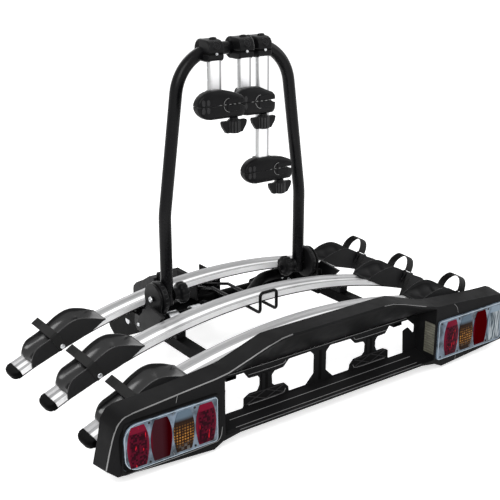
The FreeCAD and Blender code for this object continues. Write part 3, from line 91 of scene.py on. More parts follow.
# Wheel cups: distance from the middle, then heights above a rail's underside of the foot and of both crests
CUP_WALL = 3
LEFT_CUP = ((334, 14.5, 16.8, 17.5), (341, 14, 18.5, 22), (350, 10.5, 24, 28.5), (362, 6, 31.5, 37), (374, 4, 38, 44),
            (388, 2.2, 46, 51.5), (400, 1.5, 51, 56), (414, 1.5, 54, 58), (428, 1.5, 53.5, 57), (442, 1.5, 51.5, 54),
            (457, 1.5, 47.8, 49), (473, 1.5, 43.8, 44.2), (488, 1.5, 43, 43.4), (503, 2, 42.6, 43),
            (509, 2.5, 39.5, 40.5), (514, 3, 34, 35.5), (517.5, 4, 27, 28), (519.5, 5, 21, 21))
RIGHT_CUP = ((314, 14.5, 16.8, 19), (322, 14, 22.5, 26), (334, 10.5, 30, 34), (345, 6, 36, 42), (356, 4, 42, 48),
             (374, 2.2, 50, 56), (391, 1.5, 56, 60), (406, 1.5, 57.5, 59.5), (421, 1.5, 54.8, 56.5), (438, 1.5, 51, 52),
             (457, 1.5, 48, 48.6), (476, 1.5, 44, 44.4), (493, 1.5, 43, 43), (506, 2, 42, 42.4),
             (512, 2.5, 39.5, 40), (517, 3, 34, 34.6), (520.5, 4, 27, 27.5), (522.5, 5, 21, 21))
# Straps: distance from the middle, height above the rail's underside, and lean in degrees
LEFT_STRAP = (464, 47.5, -32)
RIGHT_STRAP = (450, 51.5, 28)

# Hinges and top bar
HOOP_Y = -365
HINGE_Z = 162
TOP_Z = 719
HUB_INNER = 208.9
HUB_DEPTH = 19.8
SHIELD_RADIUS = 37.5

# Light board
BOARD_FRONT = -753
GRID_FRONT = -691
LAMP_FACE = -757.5
LAMP_MIDDLE_Z = 57
LENS_REACH = 43
FIELD_X = (346, 396.7, 447.3, 498)
BOARD_CREASE = ((129, 188), (166, 185), (261, 155), (297, 144), (390, 137), (467, 130), (516, 126), (531, 119),
                (542, 104), (552, 76), (565, 26))

# Holding arms, one entry for each arm
BAR_X = (-74.5, 6.8, 57.5)
BAR_Y = -394
CLAMP_BODY = ((-91.5, -54.5), (-11.5, 26.5), (37.5, 76.5))
JAW_Z = (616.5, 608, 434)
JAW_X = (-173, -53, 0)
JAW_LENGTH = (118, 105, 136)
JAW_Y = (-469, -437, -396)
JAW_HALF_WIDTH = 15
JAW_SQUARENESS = 0.55
NECK_TOP = (16.5, 23.5, 31)
WING_INSET = (20, 24, 27)

# Camera of the photograph, in metres and degrees
CAMERA_PLACE = (-1.2439, -2.1472, 0.9859)
CAMERA_YAW = 35.8514
CAMERA_PITCH = 19.0577
CAMERA_LENS = 68.50


# Node helpers for the finishes

class Nodes:
    """A material's or a world's node tree, with short calls for the nodes that are used often."""

    def __init__(self, owner):
        owner.use_nodes = True
        self.tree = owner.node_tree
        self.places = self.node("TexCoord")

    def fill(self, socket, value):
        """Link a socket to another one, or set its constant."""
        if isinstance(value, bpy.types.NodeSocket):
            self.tree.links.new(value, socket)
        else:
            socket.default_value = value

    def node(self, kind, inputs=None, **settings):
        """A new node's outputs."""
        made = self.tree.nodes.new("ShaderNode" + kind)
        for key, value in settings.items():
            setattr(made, key, value)
        for key, value in (inputs or {}).items():
            self.fill(made.inputs[key], value)
        return made.outputs

    def ramp(self, source, low, high, start=0.35, end=0.65):
        """A number that goes from low to high while its source goes from start to end."""
        limits = {"From Min": start, "From Max": end, "To Min": low, "To Max": high}
        return self.node("MapRange", {"Value": source, **limits})["Result"]

    def parts(self, vector):
        """The three numbers of a direction or place."""
        return self.node("SeparateXYZ", {"Vector": vector})

    def most(self, first, second):
        return self.node("Math", {0: first, 1: second}, operation="MAXIMUM")["Value"]

    def times(self, first, second):
        return self.node("Math", {0: first, 1: second}, operation="MULTIPLY")["Value"]

    def showing_rays(self):
        """1 for the rays that show a surface: camera, transmission and glossy ones."""
        ray = self.node("LightPath")
        return self.most(self.most(ray["Is Camera Ray"], ray["Is Transmission Ray"]), ray["Is Glossy Ray"])


class Finish(Nodes):
    """A material, with the textures that the finishes share. Lengths are in millimetres."""

    def __init__(self, name):
        self.material = bpy.data.materials.new(name)
        super().__init__(self.material)
        self.place = self.places["Object"]

    def feed(self, **values):
        """Fill the shader's sockets, and give the material."""
        shader = self.tree.nodes["Principled BSDF"]
        for key, value in values.items():
            self.fill(shader.inputs[key.replace("_", " ")], value)
        return self.material

    def noise(self, scale, detail=3.0, stretch=(1, 1, 1)):
        place = self.node("Mapping", {"Vector": self.place, "Scale": stretch})["Vector"]
        return self.node("TexNoise", {"Vector": place, "Scale": scale, "Detail": detail})["Fac"]

    def wave(self, scale, direction, distortion=0.0):
        inputs = {"Vector": self.place, "Scale": scale, "Distortion": distortion}
        return self.node("TexWave", inputs, bands_direction=direction)["Fac"]

    def cells(self, size):
        """A number of its own for each small square cell."""
        inputs = {"Vector": self.place, "Scale": 1 / (size * MM), "Randomness": 0.35}
        return self.parts(self.node("TexVoronoi", inputs, distance="CHEBYCHEV")["Color"])["X"]

    def blend(self, factor, first, second):
        """From one colour to another; each is a socket or three numbers."""
        first, second = (value + (1,) if isinstance(value, tuple) else value for value in (first, second))
        return self.node("Mix", {"Factor": factor, "A": first, "B": second}, data_type="RGBA")["Result"]

    def rounded_normal(self, radius):
        return self.node("Bevel", {"Radius": radius * MM}, samples=4)["Normal"]

    def bump(self, height, strength, depth, edge_radius=None):
        inputs = {"Height": height, "Strength": strength, "Distance": depth * MM}
        if edge_radius:
            inputs["Normal"] = self.rounded_normal(edge_radius)
        return self.node("Bump", inputs)["Normal"]

    def edge_highlight_mask(self, radius, start=0.02, end=0.22):
        """A mask that rises to 1 along sharp edges, for a painted highlight where the edges would catch the light."""
        normals = {0: self.rounded_normal(radius), 1: self.node("NewGeometry")["Normal"]}
        facing = self.node("VectorMath", normals, operation="DOT_PRODUCT")["Value"]
        return self.ramp(facing, 1, 0, 1 - end, 1 - start)


def moulded(name, dark, light, roughness, grain, grain_depth, shine=0.4, edge=None, edge_radius=1.4):
    """Moulded plastic or rubber: a fine grain, a slow change of tone and gloss, and a painted highlight along sharp
    edges in the edge colour.
    """
    mat = Finish(name)
    colour = mat.blend(mat.ramp(mat.noise(9), 0, 1), dark, light)
    if edge:
        # painted highlight: the edge colour along sharp edges
        colour = mat.blend(mat.edge_highlight_mask(edge_radius), colour, edge)
    return mat.feed(Base_Color=colour, Specular_IOR_Level=shine,
                    Roughness=mat.ramp(mat.noise(40), roughness - 0.03, roughness + 0.04),
                    Normal=mat.bump(mat.noise(grain, 2), 0.2, grain_depth, 0.8))


def painted_steel():
    """Black powder coat: a soft orange peel, a few rubbed places, and a painted highlight along sharp edges."""
    mat = Finish("painted_steel")
    rubbed = mat.ramp(mat.noise(12, 4), 0, 1, 0.45, 0.75)
    colour = mat.blend(rubbed, (0.0025, 0.0025, 0.003), (0.005, 0.005, 0.0055))
    return mat.feed(Base_Color=mat.blend(mat.edge_highlight_mask(1.6), colour, (0.05, 0.05, 0.052)),
                    Roughness=mat.ramp(mat.noise(50), 0.24, 0.30),
                    Normal=mat.bump(mat.noise(650, 2), 0.12, 0.2, 1.2), Specular_IOR_Level=0.13)


def cast_metal():
    mat = Finish("cast_metal")
    colour = mat.blend(mat.ramp(mat.noise(30, 5), 0, 1), (0.004, 0.004, 0.005), (0.010, 0.010, 0.011))
    # painted highlight: a paler colour along sharp edges
    return mat.feed(Base_Color=mat.blend(mat.edge_highlight_mask(2), colour, (0.05, 0.05, 0.052)),
                    Roughness=mat.ramp(mat.noise(90, 5), 0.42, 0.55),
                    Normal=mat.bump(mat.noise(420, 4), 0.3, 0.3, 2), Specular_IOR_Level=0.15)


def rail_metal():
    """Extruded rails: white faces, with a painted grey reflection stripe along each lip on the faces that look up."""
    mat = Finish("rail_metal")
    front = RAIL_FRONTS[2] * MM
    repeat = {0: mat.parts(mat.place)["Y"], 1: front + RAIL_PITCH * MM, 2: front}
    across = mat.node("Math", repeat, operation="WRAP")["Value"]
    # painted reflection: grey stripes at the lips, only on faces that look up
    lip_reflection = mat.most(mat.ramp(across, 1, 0, front + 15 * MM, front + 17.5 * MM),
                    mat.ramp(across, 0, 1, front + 29 * MM, front + 31.5 * MM))
    upward = mat.ramp(mat.parts(mat.places["Normal"])["Z"], 0, 1, 0.4, 0.6)
    streaks = mat.noise(160, 3, (0.02, 4, 4))
    colour = mat.blend(mat.ramp(streaks, 0, 1, 0.3, 0.7), (0.95, 0.95, 0.955), (0.975, 0.975, 0.98))
    return mat.feed(Base_Color=mat.blend(mat.times(lip_reflection, upward), colour, (0.36, 0.36, 0.365)),
                    Roughness=mat.ramp(streaks, 0.34, 0.42, 0.3, 0.7),
                    Normal=mat.bump(streaks, 0.03, 0.1, 0.6), Metallic=0.3)


def bar_metal():
    """The arms' bars: white faces, with painted shade in grey on the faces that look left and in a strip along the
    right edge.
    """
    mat = Finish("bar_metal")
    facing = mat.parts(mat.places["Normal"])["X"]
    across = mat.parts(mat.places["Generated"])["X"]
    # painted shade: grey on faces that look left, and in a strip along the right edge
    colour = mat.blend(mat.ramp(facing, 1, 0, -0.62, -0.50), (0.95, 0.95, 0.96), (0.50, 0.505, 0.51))
    streaks = mat.noise(160, 3, (4, 4, 0.02))
    return mat.feed(Base_Color=mat.blend(mat.ramp(across, 0, 1, 0.70, 0.76), colour, (0.40, 0.40, 0.41)),
                    Roughness=mat.ramp(streaks, 0.42, 0.5, 0.3, 0.7),
                    Normal=mat.bump(streaks, 0.02, 0.1), Metallic=0.85)


def zinc():
    mat = Finish("zinc")
    cloud = mat.noise(160, 5)
    return mat.feed(Base_Color=mat.blend(mat.ramp(cloud, 0, 1), (0.50, 0.51, 0.53), (0.72, 0.73, 0.74)),
                    Roughness=mat.ramp(cloud, 0.26, 0.42),
                    Normal=mat.bump(mat.noise(700, 2), 0.2, 0.2, 0.6), Metallic=1.0)


class Lens(Finish):
    """A coloured lens, with a mask for its top and sides, where a paler highlight is painted."""

    def __init__(self, name, shine=0.03):
        super().__init__(name)
        self.across, _, self.up = self.parts(self.places["Generated"])
        # mask for the painted highlight on the lens's top and sides
        self.highlight_band = self.most(self.ramp(self.up, 0, 1, 0.83, 0.86), self.sides(0.03, 0.16))
        self.feed(Roughness=self.ramp(self.noise(60), 0.16, 0.26), Specular_IOR_Level=shine)

    def sides(self, start, end):
        """1 at the lens's left and right edges, down to 0 further in."""
        return self.most(self.ramp(self.across, 1, 0, start, end), self.ramp(self.across, 0, 1, 1 - end, 1 - start))


def red_lens():
    mat = Lens("lens_red")
    small = mat.cells(4.2)
    colour = mat.blend(mat.ramp(small, 0, 1, 0.35, 0.75), (0.020, 0.001, 0.005), (0.075, 0.002, 0.012))
    # painted highlight on the lens's top and sides
    colour = mat.blend(mat.highlight_band, colour, (0.150, 0.006, 0.022))
    # painted highlight: thin bright red streaks where the lens's ribs catch the light
    glint_streaks = mat.ramp(mat.noise(1.0, 2, (240, 240, 45)), 0, 1, 0.66, 0.70)
    return mat.feed(Base_Color=mat.blend(glint_streaks, colour, (0.62, 0.008, 0.020)),
                    Normal=mat.bump(small, 0.25, 0.4))


def amber_lens():
    """Rows of small facets, lit in the lens's lower half, with a clear blue-grey top."""
    mat = Lens("lens_amber")
    columns, rows = (mat.ramp(mat.wave(52, axis), 0.3, 1, 0.1, 0.7) for axis in "XZ")
    facets = mat.times(mat.times(columns, rows), mat.ramp(mat.noise(150, 2), 0.45, 1.1))
    height = mat.times(mat.ramp(mat.up, 0, 1, 0.12, 0.30), mat.ramp(mat.up, 1, 0, 0.42, 0.72))
    lit = mat.times(mat.ramp(facets, 0, 1, 0.30, 0.80), height)
    colour = mat.blend(lit, (0.020, 0.010, 0.006), (0.40, 0.17, 0.030))
    pale = mat.times(mat.ramp(mat.cells(6.5), 0, 1, 0.6, 0.9), mat.ramp(mat.up, 1, 0, 0.05, 0.25))
    colour = mat.blend(pale, colour, (0.16, 0.15, 0.14))
    return mat.feed(Base_Color=mat.blend(mat.ramp(mat.up, 0, 1, 0.76, 0.86), colour, (0.10, 0.14, 0.18)),
                    Normal=mat.bump(facets, 0.25, 0.4))


def plain_reflector():
    """A dark red face with a painted highlight, redder, along its rim; the right-hand one is redder all over."""
    mat = Lens("lens_reflector", 0.0)
    colour = mat.blend(mat.ramp(mat.across, 0, 1, 0.50, 0.80), (0.040, 0.010, 0.014), (0.026, 0.0, 0.001))
    right_hand = mat.ramp(mat.parts(mat.place)["X"], 0, 1, -0.1, 0.1)
    colour = mat.blend(right_hand, colour, (0.052, 0.0, 0.001))
    return mat.feed(Base_Color=mat.blend(mat.sides(0.02, 0.09), colour, (0.10, 0.004, 0.012)),
                    Normal=mat.bump(mat.noise(420, 2), 0.08, 0.2))


def clear_lens():
    mat = Lens("lens_clear")
    ribs = mat.noise(1.0, 2, (260, 260, 30))
    colour = mat.blend(mat.ramp(ribs, 0, 1, 0.40, 0.62), (0.045, 0.065, 0.080), (0.40, 0.44, 0.47))
    # painted highlight on the lens's top and sides
    return mat.feed(Base_Color=mat.blend(mat.highlight_band, colour, (0.22, 0.28, 0.34)),
                    Normal=mat.bump(ribs, 0.3, 0.5))


def lamp_body():
    """Clear blue-grey plastic over a reflector: cloudy, with a painted highlight along its rounded edges."""
    mat = Finish("lamp_body")
    cloud = mat.noise(38)
    colour = mat.blend(mat.ramp(cloud, 0, 1, 0.36, 0.60), (0.030, 0.043, 0.058), (0.16, 0.21, 0.27))
    return mat.feed(Base_Color=mat.blend(mat.edge_highlight_mask(1.2, 0.02, 0.2), colour, (0.46, 0.55, 0.64)),
                    Roughness=mat.ramp(mat.noise(80), 0.14, 0.24),
                    Normal=mat.bump(cloud, 0.2, 1), Specular_IOR_Level=0.3)


def lamp_side():
    """The lamp's ribbed inner wall, slightly yellow, seen through clear plastic."""
    mat = Finish("lamp_side")
    ribs = mat.times(mat.ramp(mat.wave(48, "Z", 1.5), 0.3, 1, 0, 1), mat.ramp(mat.noise(60, 4), 0.3, 1))
    return mat.feed(Base_Color=mat.blend(ribs, (0.085, 0.083, 0.066), (0.21, 0.205, 0.16)),
                    Roughness=mat.ramp(mat.noise(80), 0.3, 0.4),
                    Normal=mat.bump(ribs, 0.3, 0.6), Specular_IOR_Level=0.2)


def floor_finish():
    """A white floor that keeps a soft shadow."""
    mat = Finish("floor")
    return mat.feed(Base_Color=mat.blend(mat.noise(3, 2), (0.86, 0.86, 0.86), (0.90, 0.90, 0.90)),
                    Roughness=0.9, Specular_IOR_Level=0.0, Emission_Color=(1, 1, 1, 1),
                    Emission_Strength=mat.ramp(mat.showing_rays(), 0, 0.62, 0, 1))


STEEL = painted_steel()
# FRAME, HARD_PLASTIC and CUP_PLASTIC end with a pale colour: the painted highlight along their sharp edges.
FRAME = moulded("black_frame", (0.0012, 0.0012, 0.0014), (0.0030, 0.0030, 0.0032), 0.45, 650, 0.1, 0.03,
                (0.02, 0.02, 0.02))
CAST = cast_metal()
RAIL_METAL = rail_metal()
BAR_METAL = bar_metal()
ZINC = zinc()
PLASTIC = moulded("grained_plastic", (0.0060, 0.0060, 0.0063), (0.0090, 0.0090, 0.0095), 0.5, 900, 0.2, 0.045)
HARD_PLASTIC = moulded("hard_plastic", (0.0035, 0.0035, 0.004), (0.007, 0.007, 0.0075), 0.36, 700, 0.15, 0.10,
                       (0.06, 0.06, 0.062))
CUP_PLASTIC = moulded("cup_plastic", (0.004, 0.004, 0.0045), (0.006, 0.006, 0.0065), 0.22, 500, 0.04, 0.5,
                      (0.07, 0.07, 0.07), 1.2)
# CUP_SIDE: a paler, duller copy of the cups' plastic for their flat side faces; the paler colour is painted light.
CUP_SIDE = moulded("cup_side", (0.011, 0.011, 0.0115), (0.016, 0.016, 0.0165), 0.6, 500, 0.03, 0.12)
RUBBER = moulded("rubber", (0.008, 0.008, 0.008), (0.012, 0.012, 0.012), 0.62, 1200, 0.2, 0.16)
# SHADOW: painted shade, a near-black put where shade falls: low on the rails' sides, in slots, splits and the gap round
# a lamp.
SHADOW = moulded("painted_shade", (0.0015, 0.0015, 0.0015), (0.003, 0.003, 0.003), 0.7, 600, 0.2, 0.05)
# EDGE and DIM_EDGE: painted highlights, pale lines and small pieces where creases, edges, ribs, pads, flutes and teeth
# catch the light.
EDGE = moulded("edge_line", (0.17, 0.17, 0.17), (0.28, 0.28, 0.28), 0.5, 600, 0.1, 0.2)
DIM_EDGE = moulded("dim_edge_line", (0.020, 0.020, 0.021), (0.034, 0.034, 0.035), 0.5, 600, 0.1, 0.15)
RED = red_lens()
AMBER = amber_lens()
REFLECTOR = plain_reflector()
CLEAR = clear_lens()
# CLEAR_EDGE: painted highlight on the lamp covers' rims.
CLEAR_EDGE = moulded("clear_edge", (0.36, 0.44, 0.52), (0.55, 0.63, 0.70), 0.3, 600, 0.1, 0.3)
LAMP = lamp_body()
LAMP_SIDE = lamp_side()


# Mesh helpers

def turns(count, start=0.0, sweep=360.0, ends=False):
    """Cosine and sine at even steps round a turn, in degrees, with or without the turn's last angle."""
    steps = count - 1 if ends else count
    angles = [math.radians(start + sweep * step / steps) for step in range(count)]
    return [(math.cos(angle), math.sin(angle)) for angle in angles]


def half_turn():
    return turns(17, 0, 180, True)


def swelled(value, power):
    """A cosine or sine that is drawn out towards a square's corner."""
    return math.copysign(abs(value) ** power, value)


def placed(origin, across, upward):
    """A matrix with its own x and z directions, at a point."""
    z = Vector(upward).normalized()
    x = (Vector(across) - z * Vector(across).dot(z)).normalized()
    turn = Matrix((x, z.cross(x), z)).transposed().to_4x4()
    return Matrix.Translation(Vector(origin)) @ turn


SIDEWAYS = placed((0, 0, 0), Y, X)


def add_rings(mesh, rings, closed=False):
    """Skin between rings of points, in millimetres, with the same count."""
    made = [[mesh.verts.new(Vector(point) * MM) for point in ring] for ring in rings]
    for first, second in zip(made, made[1:] + made[:1] if closed else made[1:]):
        for index in range(len(first)):
            mesh.faces.new((first[index - 1], first[index], second[index], second[index - 1]))
    if not closed:
        mesh.faces.new(made[0][::-1])
        mesh.faces.new(made[-1])


def add_lathe(mesh, profile, matrix, steps=32):
    """A turned form from (radius, height) pairs about the matrix's z axis."""
    add_rings(mesh, [[matrix @ Vector((radius * c, radius * s, height)) for c, s in turns(steps)]
                     for radius, height in profile])


def add_prism(mesh, outline, low, high, matrix):
    """An outline in the matrix's x and y, between two heights."""
    add_rings(mesh, [[matrix @ Vector((x, y, height)) for x, y in outline] for height in (low, high)])


def add_block(mesh, low, high):
    """A block between two corners, for a piece whose edges are rounded afterwards."""
    outline = [(low[0], low[1]), (high[0], low[1]), (high[0], high[1]), (low[0], high[1])]
    add_prism(mesh, outline, low[2], high[2], Matrix.Identity(4))


def add_tube(mesh, points, radius, steps=12):
    """A round bar along points."""
    points = [Vector(point) for point in points]
    rings = []
    side = None
    for index, point in enumerate(points):
        before = points[max(index - 1, 0)]
        after = points[min(index + 1, len(points) - 1)]
        along = (after - before).normalized()
        if side is None:
            side = along.orthogonal().normalized()
        side = (side - along * side.dot(along)).normalized()
        other = along.cross(side)
        rings.append([point + (side * c + other * s) * radius for c, s in turns(steps)])
    add_rings(mesh, rings)


def smooth_path(points, rounds=2):
    """Cut the corners of an open path, so that it runs smoothly."""
    path = [Vector(point) for point in points]
    for _ in range(rounds):
        cut = [path[0]]
        for first, second in zip(path, path[1:]):
            cut += [first.lerp(second, 0.25), first.lerp(second, 0.75)]
        path = cut + [path[-1]]
    return path


def add_object(name, data):
    made = bpy.data.objects.new(name, data)
    bpy.context.scene.collection.objects.link(made)
    return made


def mesh_object(name, mesh, material):
    data = bpy.data.meshes.new(name)
    mesh.to_mesh(data)
    mesh.free()
    data.materials.append(material)
    return add_object(name, data)


def piece(name, mesh, material, node=None, bevel=0.0, segments=2, angle=32.0, body="platform"):
    """Make an object of a mesh with rounded edges, on a body, or in place of a CAD node and on that node's body."""
    bmesh.ops.recalc_face_normals(mesh, faces=mesh.faces)
    made = mesh_object(name, mesh, material)
    for polygon in made.data.polygons:
        polygon.use_smooth = True
    made.data.set_sharp_from_angle(angle=math.radians(angle))
    if bevel:
        modifier = made.modifiers.new("edges", "BEVEL")
        modifier.width = bevel * MM
        modifier.segments = segments
        modifier.limit_method = "ANGLE"
        modifier.angle_limit = math.radians(angle)
        modifier.use_clamp_overlap = True
        modifier.harden_normals = True
    if node:
        body = body_of(node)
    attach(made, body)
    if node:
        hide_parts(node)
    return made


def body_of(node):
    return NODES[node]["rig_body"]


def softened(node, material, width, angle=32.0):
    """The same form as a CAD node, with its edges rounded as moulded or pressed parts have them."""
    mesh = bmesh.new()
    mesh.from_mesh(NODES[node].data)
    bmesh.ops.remove_doubles(mesh, verts=mesh.verts, dist=0.01 * MM)
    bmesh.ops.dissolve_limit(mesh, angle_limit=math.radians(1.0), verts=mesh.verts, edges=mesh.edges)
    piece("soft_" + node, mesh, material, node, width, angle=angle)


def coat(node, material):
    """Give a CAD node its finish."""
    data = NODES[node].data
    data.materials.clear()
    data.materials.append(material)


# Fasteners

def add_hex_bolt(mesh, place, outward, radius, height):
    """A hexagon head with a washer under it and a chamfered top."""
    matrix = placed(place, Vector(outward).orthogonal(), outward)
    add_lathe(mesh, [(radius * 1.25, 0), (radius * 1.25, height * 0.2), (radius * 1.15, height * 0.26)], matrix, 24)
    add_prism(mesh, [(radius * c, radius * s) for c, s in turns(6)], height * 0.26, height * 0.85, matrix)
    add_lathe(mesh, [(radius * 0.84, height * 0.8), (radius * 0.80, height), (radius * 0.3, height * 1.04)], matrix, 24)


def add_dome_bolt(mesh, place, outward, radius, height):
    """A button head with a socket in it."""
    matrix = placed(place, Vector(outward).orthogonal(), outward)
    profile = ((1, 0), (1, 0.3), (0.9, 0.7), (0.65, 1), (0.42, 1), (0.36, 0.55), (0.05, 0.5))
    add_lathe(mesh, [(radius * out, height * up) for out, up in profile], matrix, 28)


def fasteners():
    """Bright bolts of the platform and the hinges."""
    mesh = bmesh.new()
    for side, _ in SIDES:
        for y, z in ((-343, 98.5), (-394, 101.6)):
            add_dome_bolt(mesh, (side * 260, y, z), X * side, 4.8, 3.2)
        for y in (-305, -272):
            add_hex_bolt(mesh, (side * 216, y, 92), X * -side, 5.5, 4)
    piece("platform_bolts", mesh, ZINC, "frame_bolts", 0.3)
    mesh = bmesh.new()
    for side, _ in SIDES:
        add_dome_bolt(mesh, (side * 237.5, HOOP_Y, HINGE_Z), X * side, 7.5, 4)
    piece("hinge_bolts", mesh, ZINC, None, 0.3, body="hoop")


# Straps

def rail_z(x):
    return RAIL_APEX - RAIL_RADIUS + math.sqrt(RAIL_RADIUS ** 2 - x ** 2)


def strap_matrix(row, side, strap):
    """The place of a strap: leaning outwards over a cup's crest."""
    place, seat, lean = strap
    origin = Vector((side * place, RAIL_FRONTS[row], rail_z(place) + seat))
    return Matrix.Translation(origin) @ Matrix.Rotation(math.radians(lean), 4, "Y")


def add_band(mesh, path, width, thickness, matrix, rounded_end=False):
    """A flat strap along a path of (y, z) points, thick towards the path's left side."""
    count = len(path)
    rings = []
    for index, (y, z) in enumerate(path):
        before = Vector(path[max(index - 1, 0)])
        after = Vector(path[min(index + 1, count - 1)])
        along = (after - before).normalized()
        normal = Vector((-along.y, along.x)) * thickness
        half = width / 2
        left = count - 1 - index
        if rounded_end and left < 6:
            half *= math.sqrt(1 - ((6 - left) / 6.6) ** 2)
        rings.append([matrix @ Vector(corner) for corner in (
            (-half, y, z), (half, y, z), (half, y + normal.x, z + normal.y), (-half, y + normal.x, z + normal.y))])
    add_rings(mesh, rings)


def flat_path(points, rounds=2):
    """A smooth (y, z) path through corner points."""
    return [(point.x, point.y) for point in smooth_path([Vector((y, z, 0)) for y, z in points], rounds)]


def add_teeth(mesh, start, end, count, width, height, matrix):
    """Cross ribs on a strap's outer face, between two (y, z) points."""
    start = Vector(start)
    end = Vector(end)
    along = (end - start).normalized()
    normal = Vector((-along.y, along.x)) * height
    for index in range(count):
        middle = start.lerp(end, (index + 0.5) / count)
        corners = [middle - along * 1.2, middle + along * 1.2, middle + along * 0.7 + normal,
                   middle - along * 0.7 + normal]
        add_prism(mesh, corners, -width / 2, width / 2, matrix @ SIDEWAYS)


def left_strap(row):
    """A strap from a low rivet on the near wall, over both walls, with its end standing free."""
    matrix = strap_matrix(row, -1, LEFT_STRAP)
    near = -CUP_WALL - 0.3
    end = RAIL_WIDTH + CUP_WALL + 38
    thickness = 2.5
    mesh = bmesh.new()
    path = flat_path([(near, -42), (near, -4), (near, 0.4), (near + 4, 0.6), (60, 1.6), (end, 2.2)])
    add_band(mesh, path, 20, thickness, matrix)
    add_teeth(mesh, (62, 4), (end - 6, 4.6), 10, 15, 0.6, matrix)
    piece("strap_left_%d" % (row + 1), mesh, RUBBER, "straps_left", 0.6)
    mesh = bmesh.new()
    add_lathe(mesh, [(5.8, 0), (5.6, 0.8), (4.5, 1.9), (2, 2.4)],
              matrix @ placed((0, near - thickness, -35), X, -Y), 24)
    piece("rivet_%d" % (row + 1), mesh, ZINC, "strap_rivets", 0.2)


def right_strap(row):
    """An arch over the channel, a ratchet buckle at the near wall, and the loose tail before it."""
    matrix = strap_matrix(row, 1, RIGHT_STRAP)
    near = -CUP_WALL - 2.8
    far = RAIL_WIDTH + CUP_WALL + 2.8
    rise = 36
    mesh = bmesh.new()
    arch = flat_path([(near, 0), (near + 1, rise * 0.55), (near + 12, rise), (30, rise + 1), (far - 18, rise),
                      (far - 2, rise * 0.5), (far, 0), (far, -14)], 3)
    add_band(mesh, [(y * 0.94 + 1.6, z - 2.5 if z > 10 else z) for y, z in arch], 24, 2.5, matrix)
    face = near - 6
    tail = flat_path([(face, -4), (face - 1, -30), (face - 5, -58), (face - 6, -78)], 3)
    add_band(mesh, tail, 20, -2.5, matrix, rounded_end=True)
    add_teeth(mesh, (face - 2.7, -12), (face - 8, -66), 14, 15, -0.9, matrix)
    piece("strap_right_%d" % (row + 1), mesh, RUBBER, "straps_right", 0.6)
    mesh = bmesh.new()
    cheek = [(near + 2.5, 0), (near + 2.5, -30), (near - 3.5, -30), (near - 6, -10), (near - 6, -2), (near - 3, 1)]
    core = [(near + 2.5, -1), (near + 2.5, -29), (near - 1, -29), (near - 2.5, -6)]
    for outline, low, high in ((cheek, -16, -12.5), (cheek, 12.5, 16), (core, -12.5, 12.5)):
        add_rings(mesh, [[matrix @ Vector((x, y, z)) for y, z in outline] for x in (low, high)])
    lever = flat_path([(near - 5.5, -1), (near - 9.5, -7), (near - 8.5, -20)])
    add_band(mesh, lever, 18, 2.5, matrix)
    for height in (-7, -24):
        add_tube(mesh, [matrix @ Vector((x, near - 2, height)) for x in (-16.5, 16.5)], 1.7)
    piece("buckle_%d" % (row + 1), mesh, HARD_PLASTIC, "strap_buckles", bevel=0.7)


def straps():
    for strap in (left_strap, right_strap):
        for row in range(3):
            strap(row)


# Cups, rails and caps

def cup_section(x, foot, near, far, middle):
    """A ring of a cup: side walls down the rail, rounded crests, and a round trough between them."""
    inner = RAIL_WIDTH / 2
    half = inner + CUP_WALL
    saddle = min(RAIL_HEIGHT + 0.3, near - 0.6)
    ring = [(-inner, foot), (-half, foot), (-half, near - 1.6), (-half + 0.5, near - 0.4), (-half + 1.5, near)]
    depth = max(min(inner, (near + far) / 2 - 18.5), 0.6)
    for c, s in turns(13, 0, 180, True):
        rim = near + (far - near) * (1 - c) / 2 - 0.5
        ring.append((-inner * c, rim - depth * s))
    ring += [(half - 1.5, far), (half - 0.5, far - 0.4), (half, far - 1.6), (half, foot), (inner, foot),
             (inner, saddle), (-inner, saddle)]
    base = rail_z(x)
    return [(x, middle + y, base + z) for y, z in ring]


def blended_stations(stations):
    """More stations along a cup, on a smooth line through those given."""
    for _ in range(2):
        finer = [stations[0]]
        for first, second in zip(stations, stations[1:]):
            finer += [tuple(a * share + b * (1 - share) for a, b in zip(first, second)) for share in (0.75, 0.25)]
        stations = finer + [stations[-1]]
    return stations


def cups():
    for (side, word), stations, material in zip(SIDES, (LEFT_CUP, RIGHT_CUP), (CUP_PLASTIC, HARD_PLASTIC)):
        for row, front in enumerate(RAIL_FRONTS, 1):
            mesh = bmesh.new()
            add_rings(mesh, [cup_section(side * x, foot, near, far, front + RAIL_WIDTH / 2)
                             for x, foot, near, far in blended_stations(stations)])
            node = "wheel_cup_%s_%d" % (word, row)
            made = piece("moulded_" + node, mesh, material, node, angle=40.0)
            # painted light: the flat side faces get the paler copy of the cup's plastic
            made.data.materials.append(CUP_SIDE)
            for polygon in made.data.polygons:
                if abs(polygon.normal.y) > 0.95:
                    polygon.material_index = 1


def on_rail(turn, reach, y, side=1):
    """A point on a bow about the rails' centre line."""
    return side * reach * math.sin(turn), y, RAIL_APEX - RAIL_RADIUS + reach * math.cos(turn)


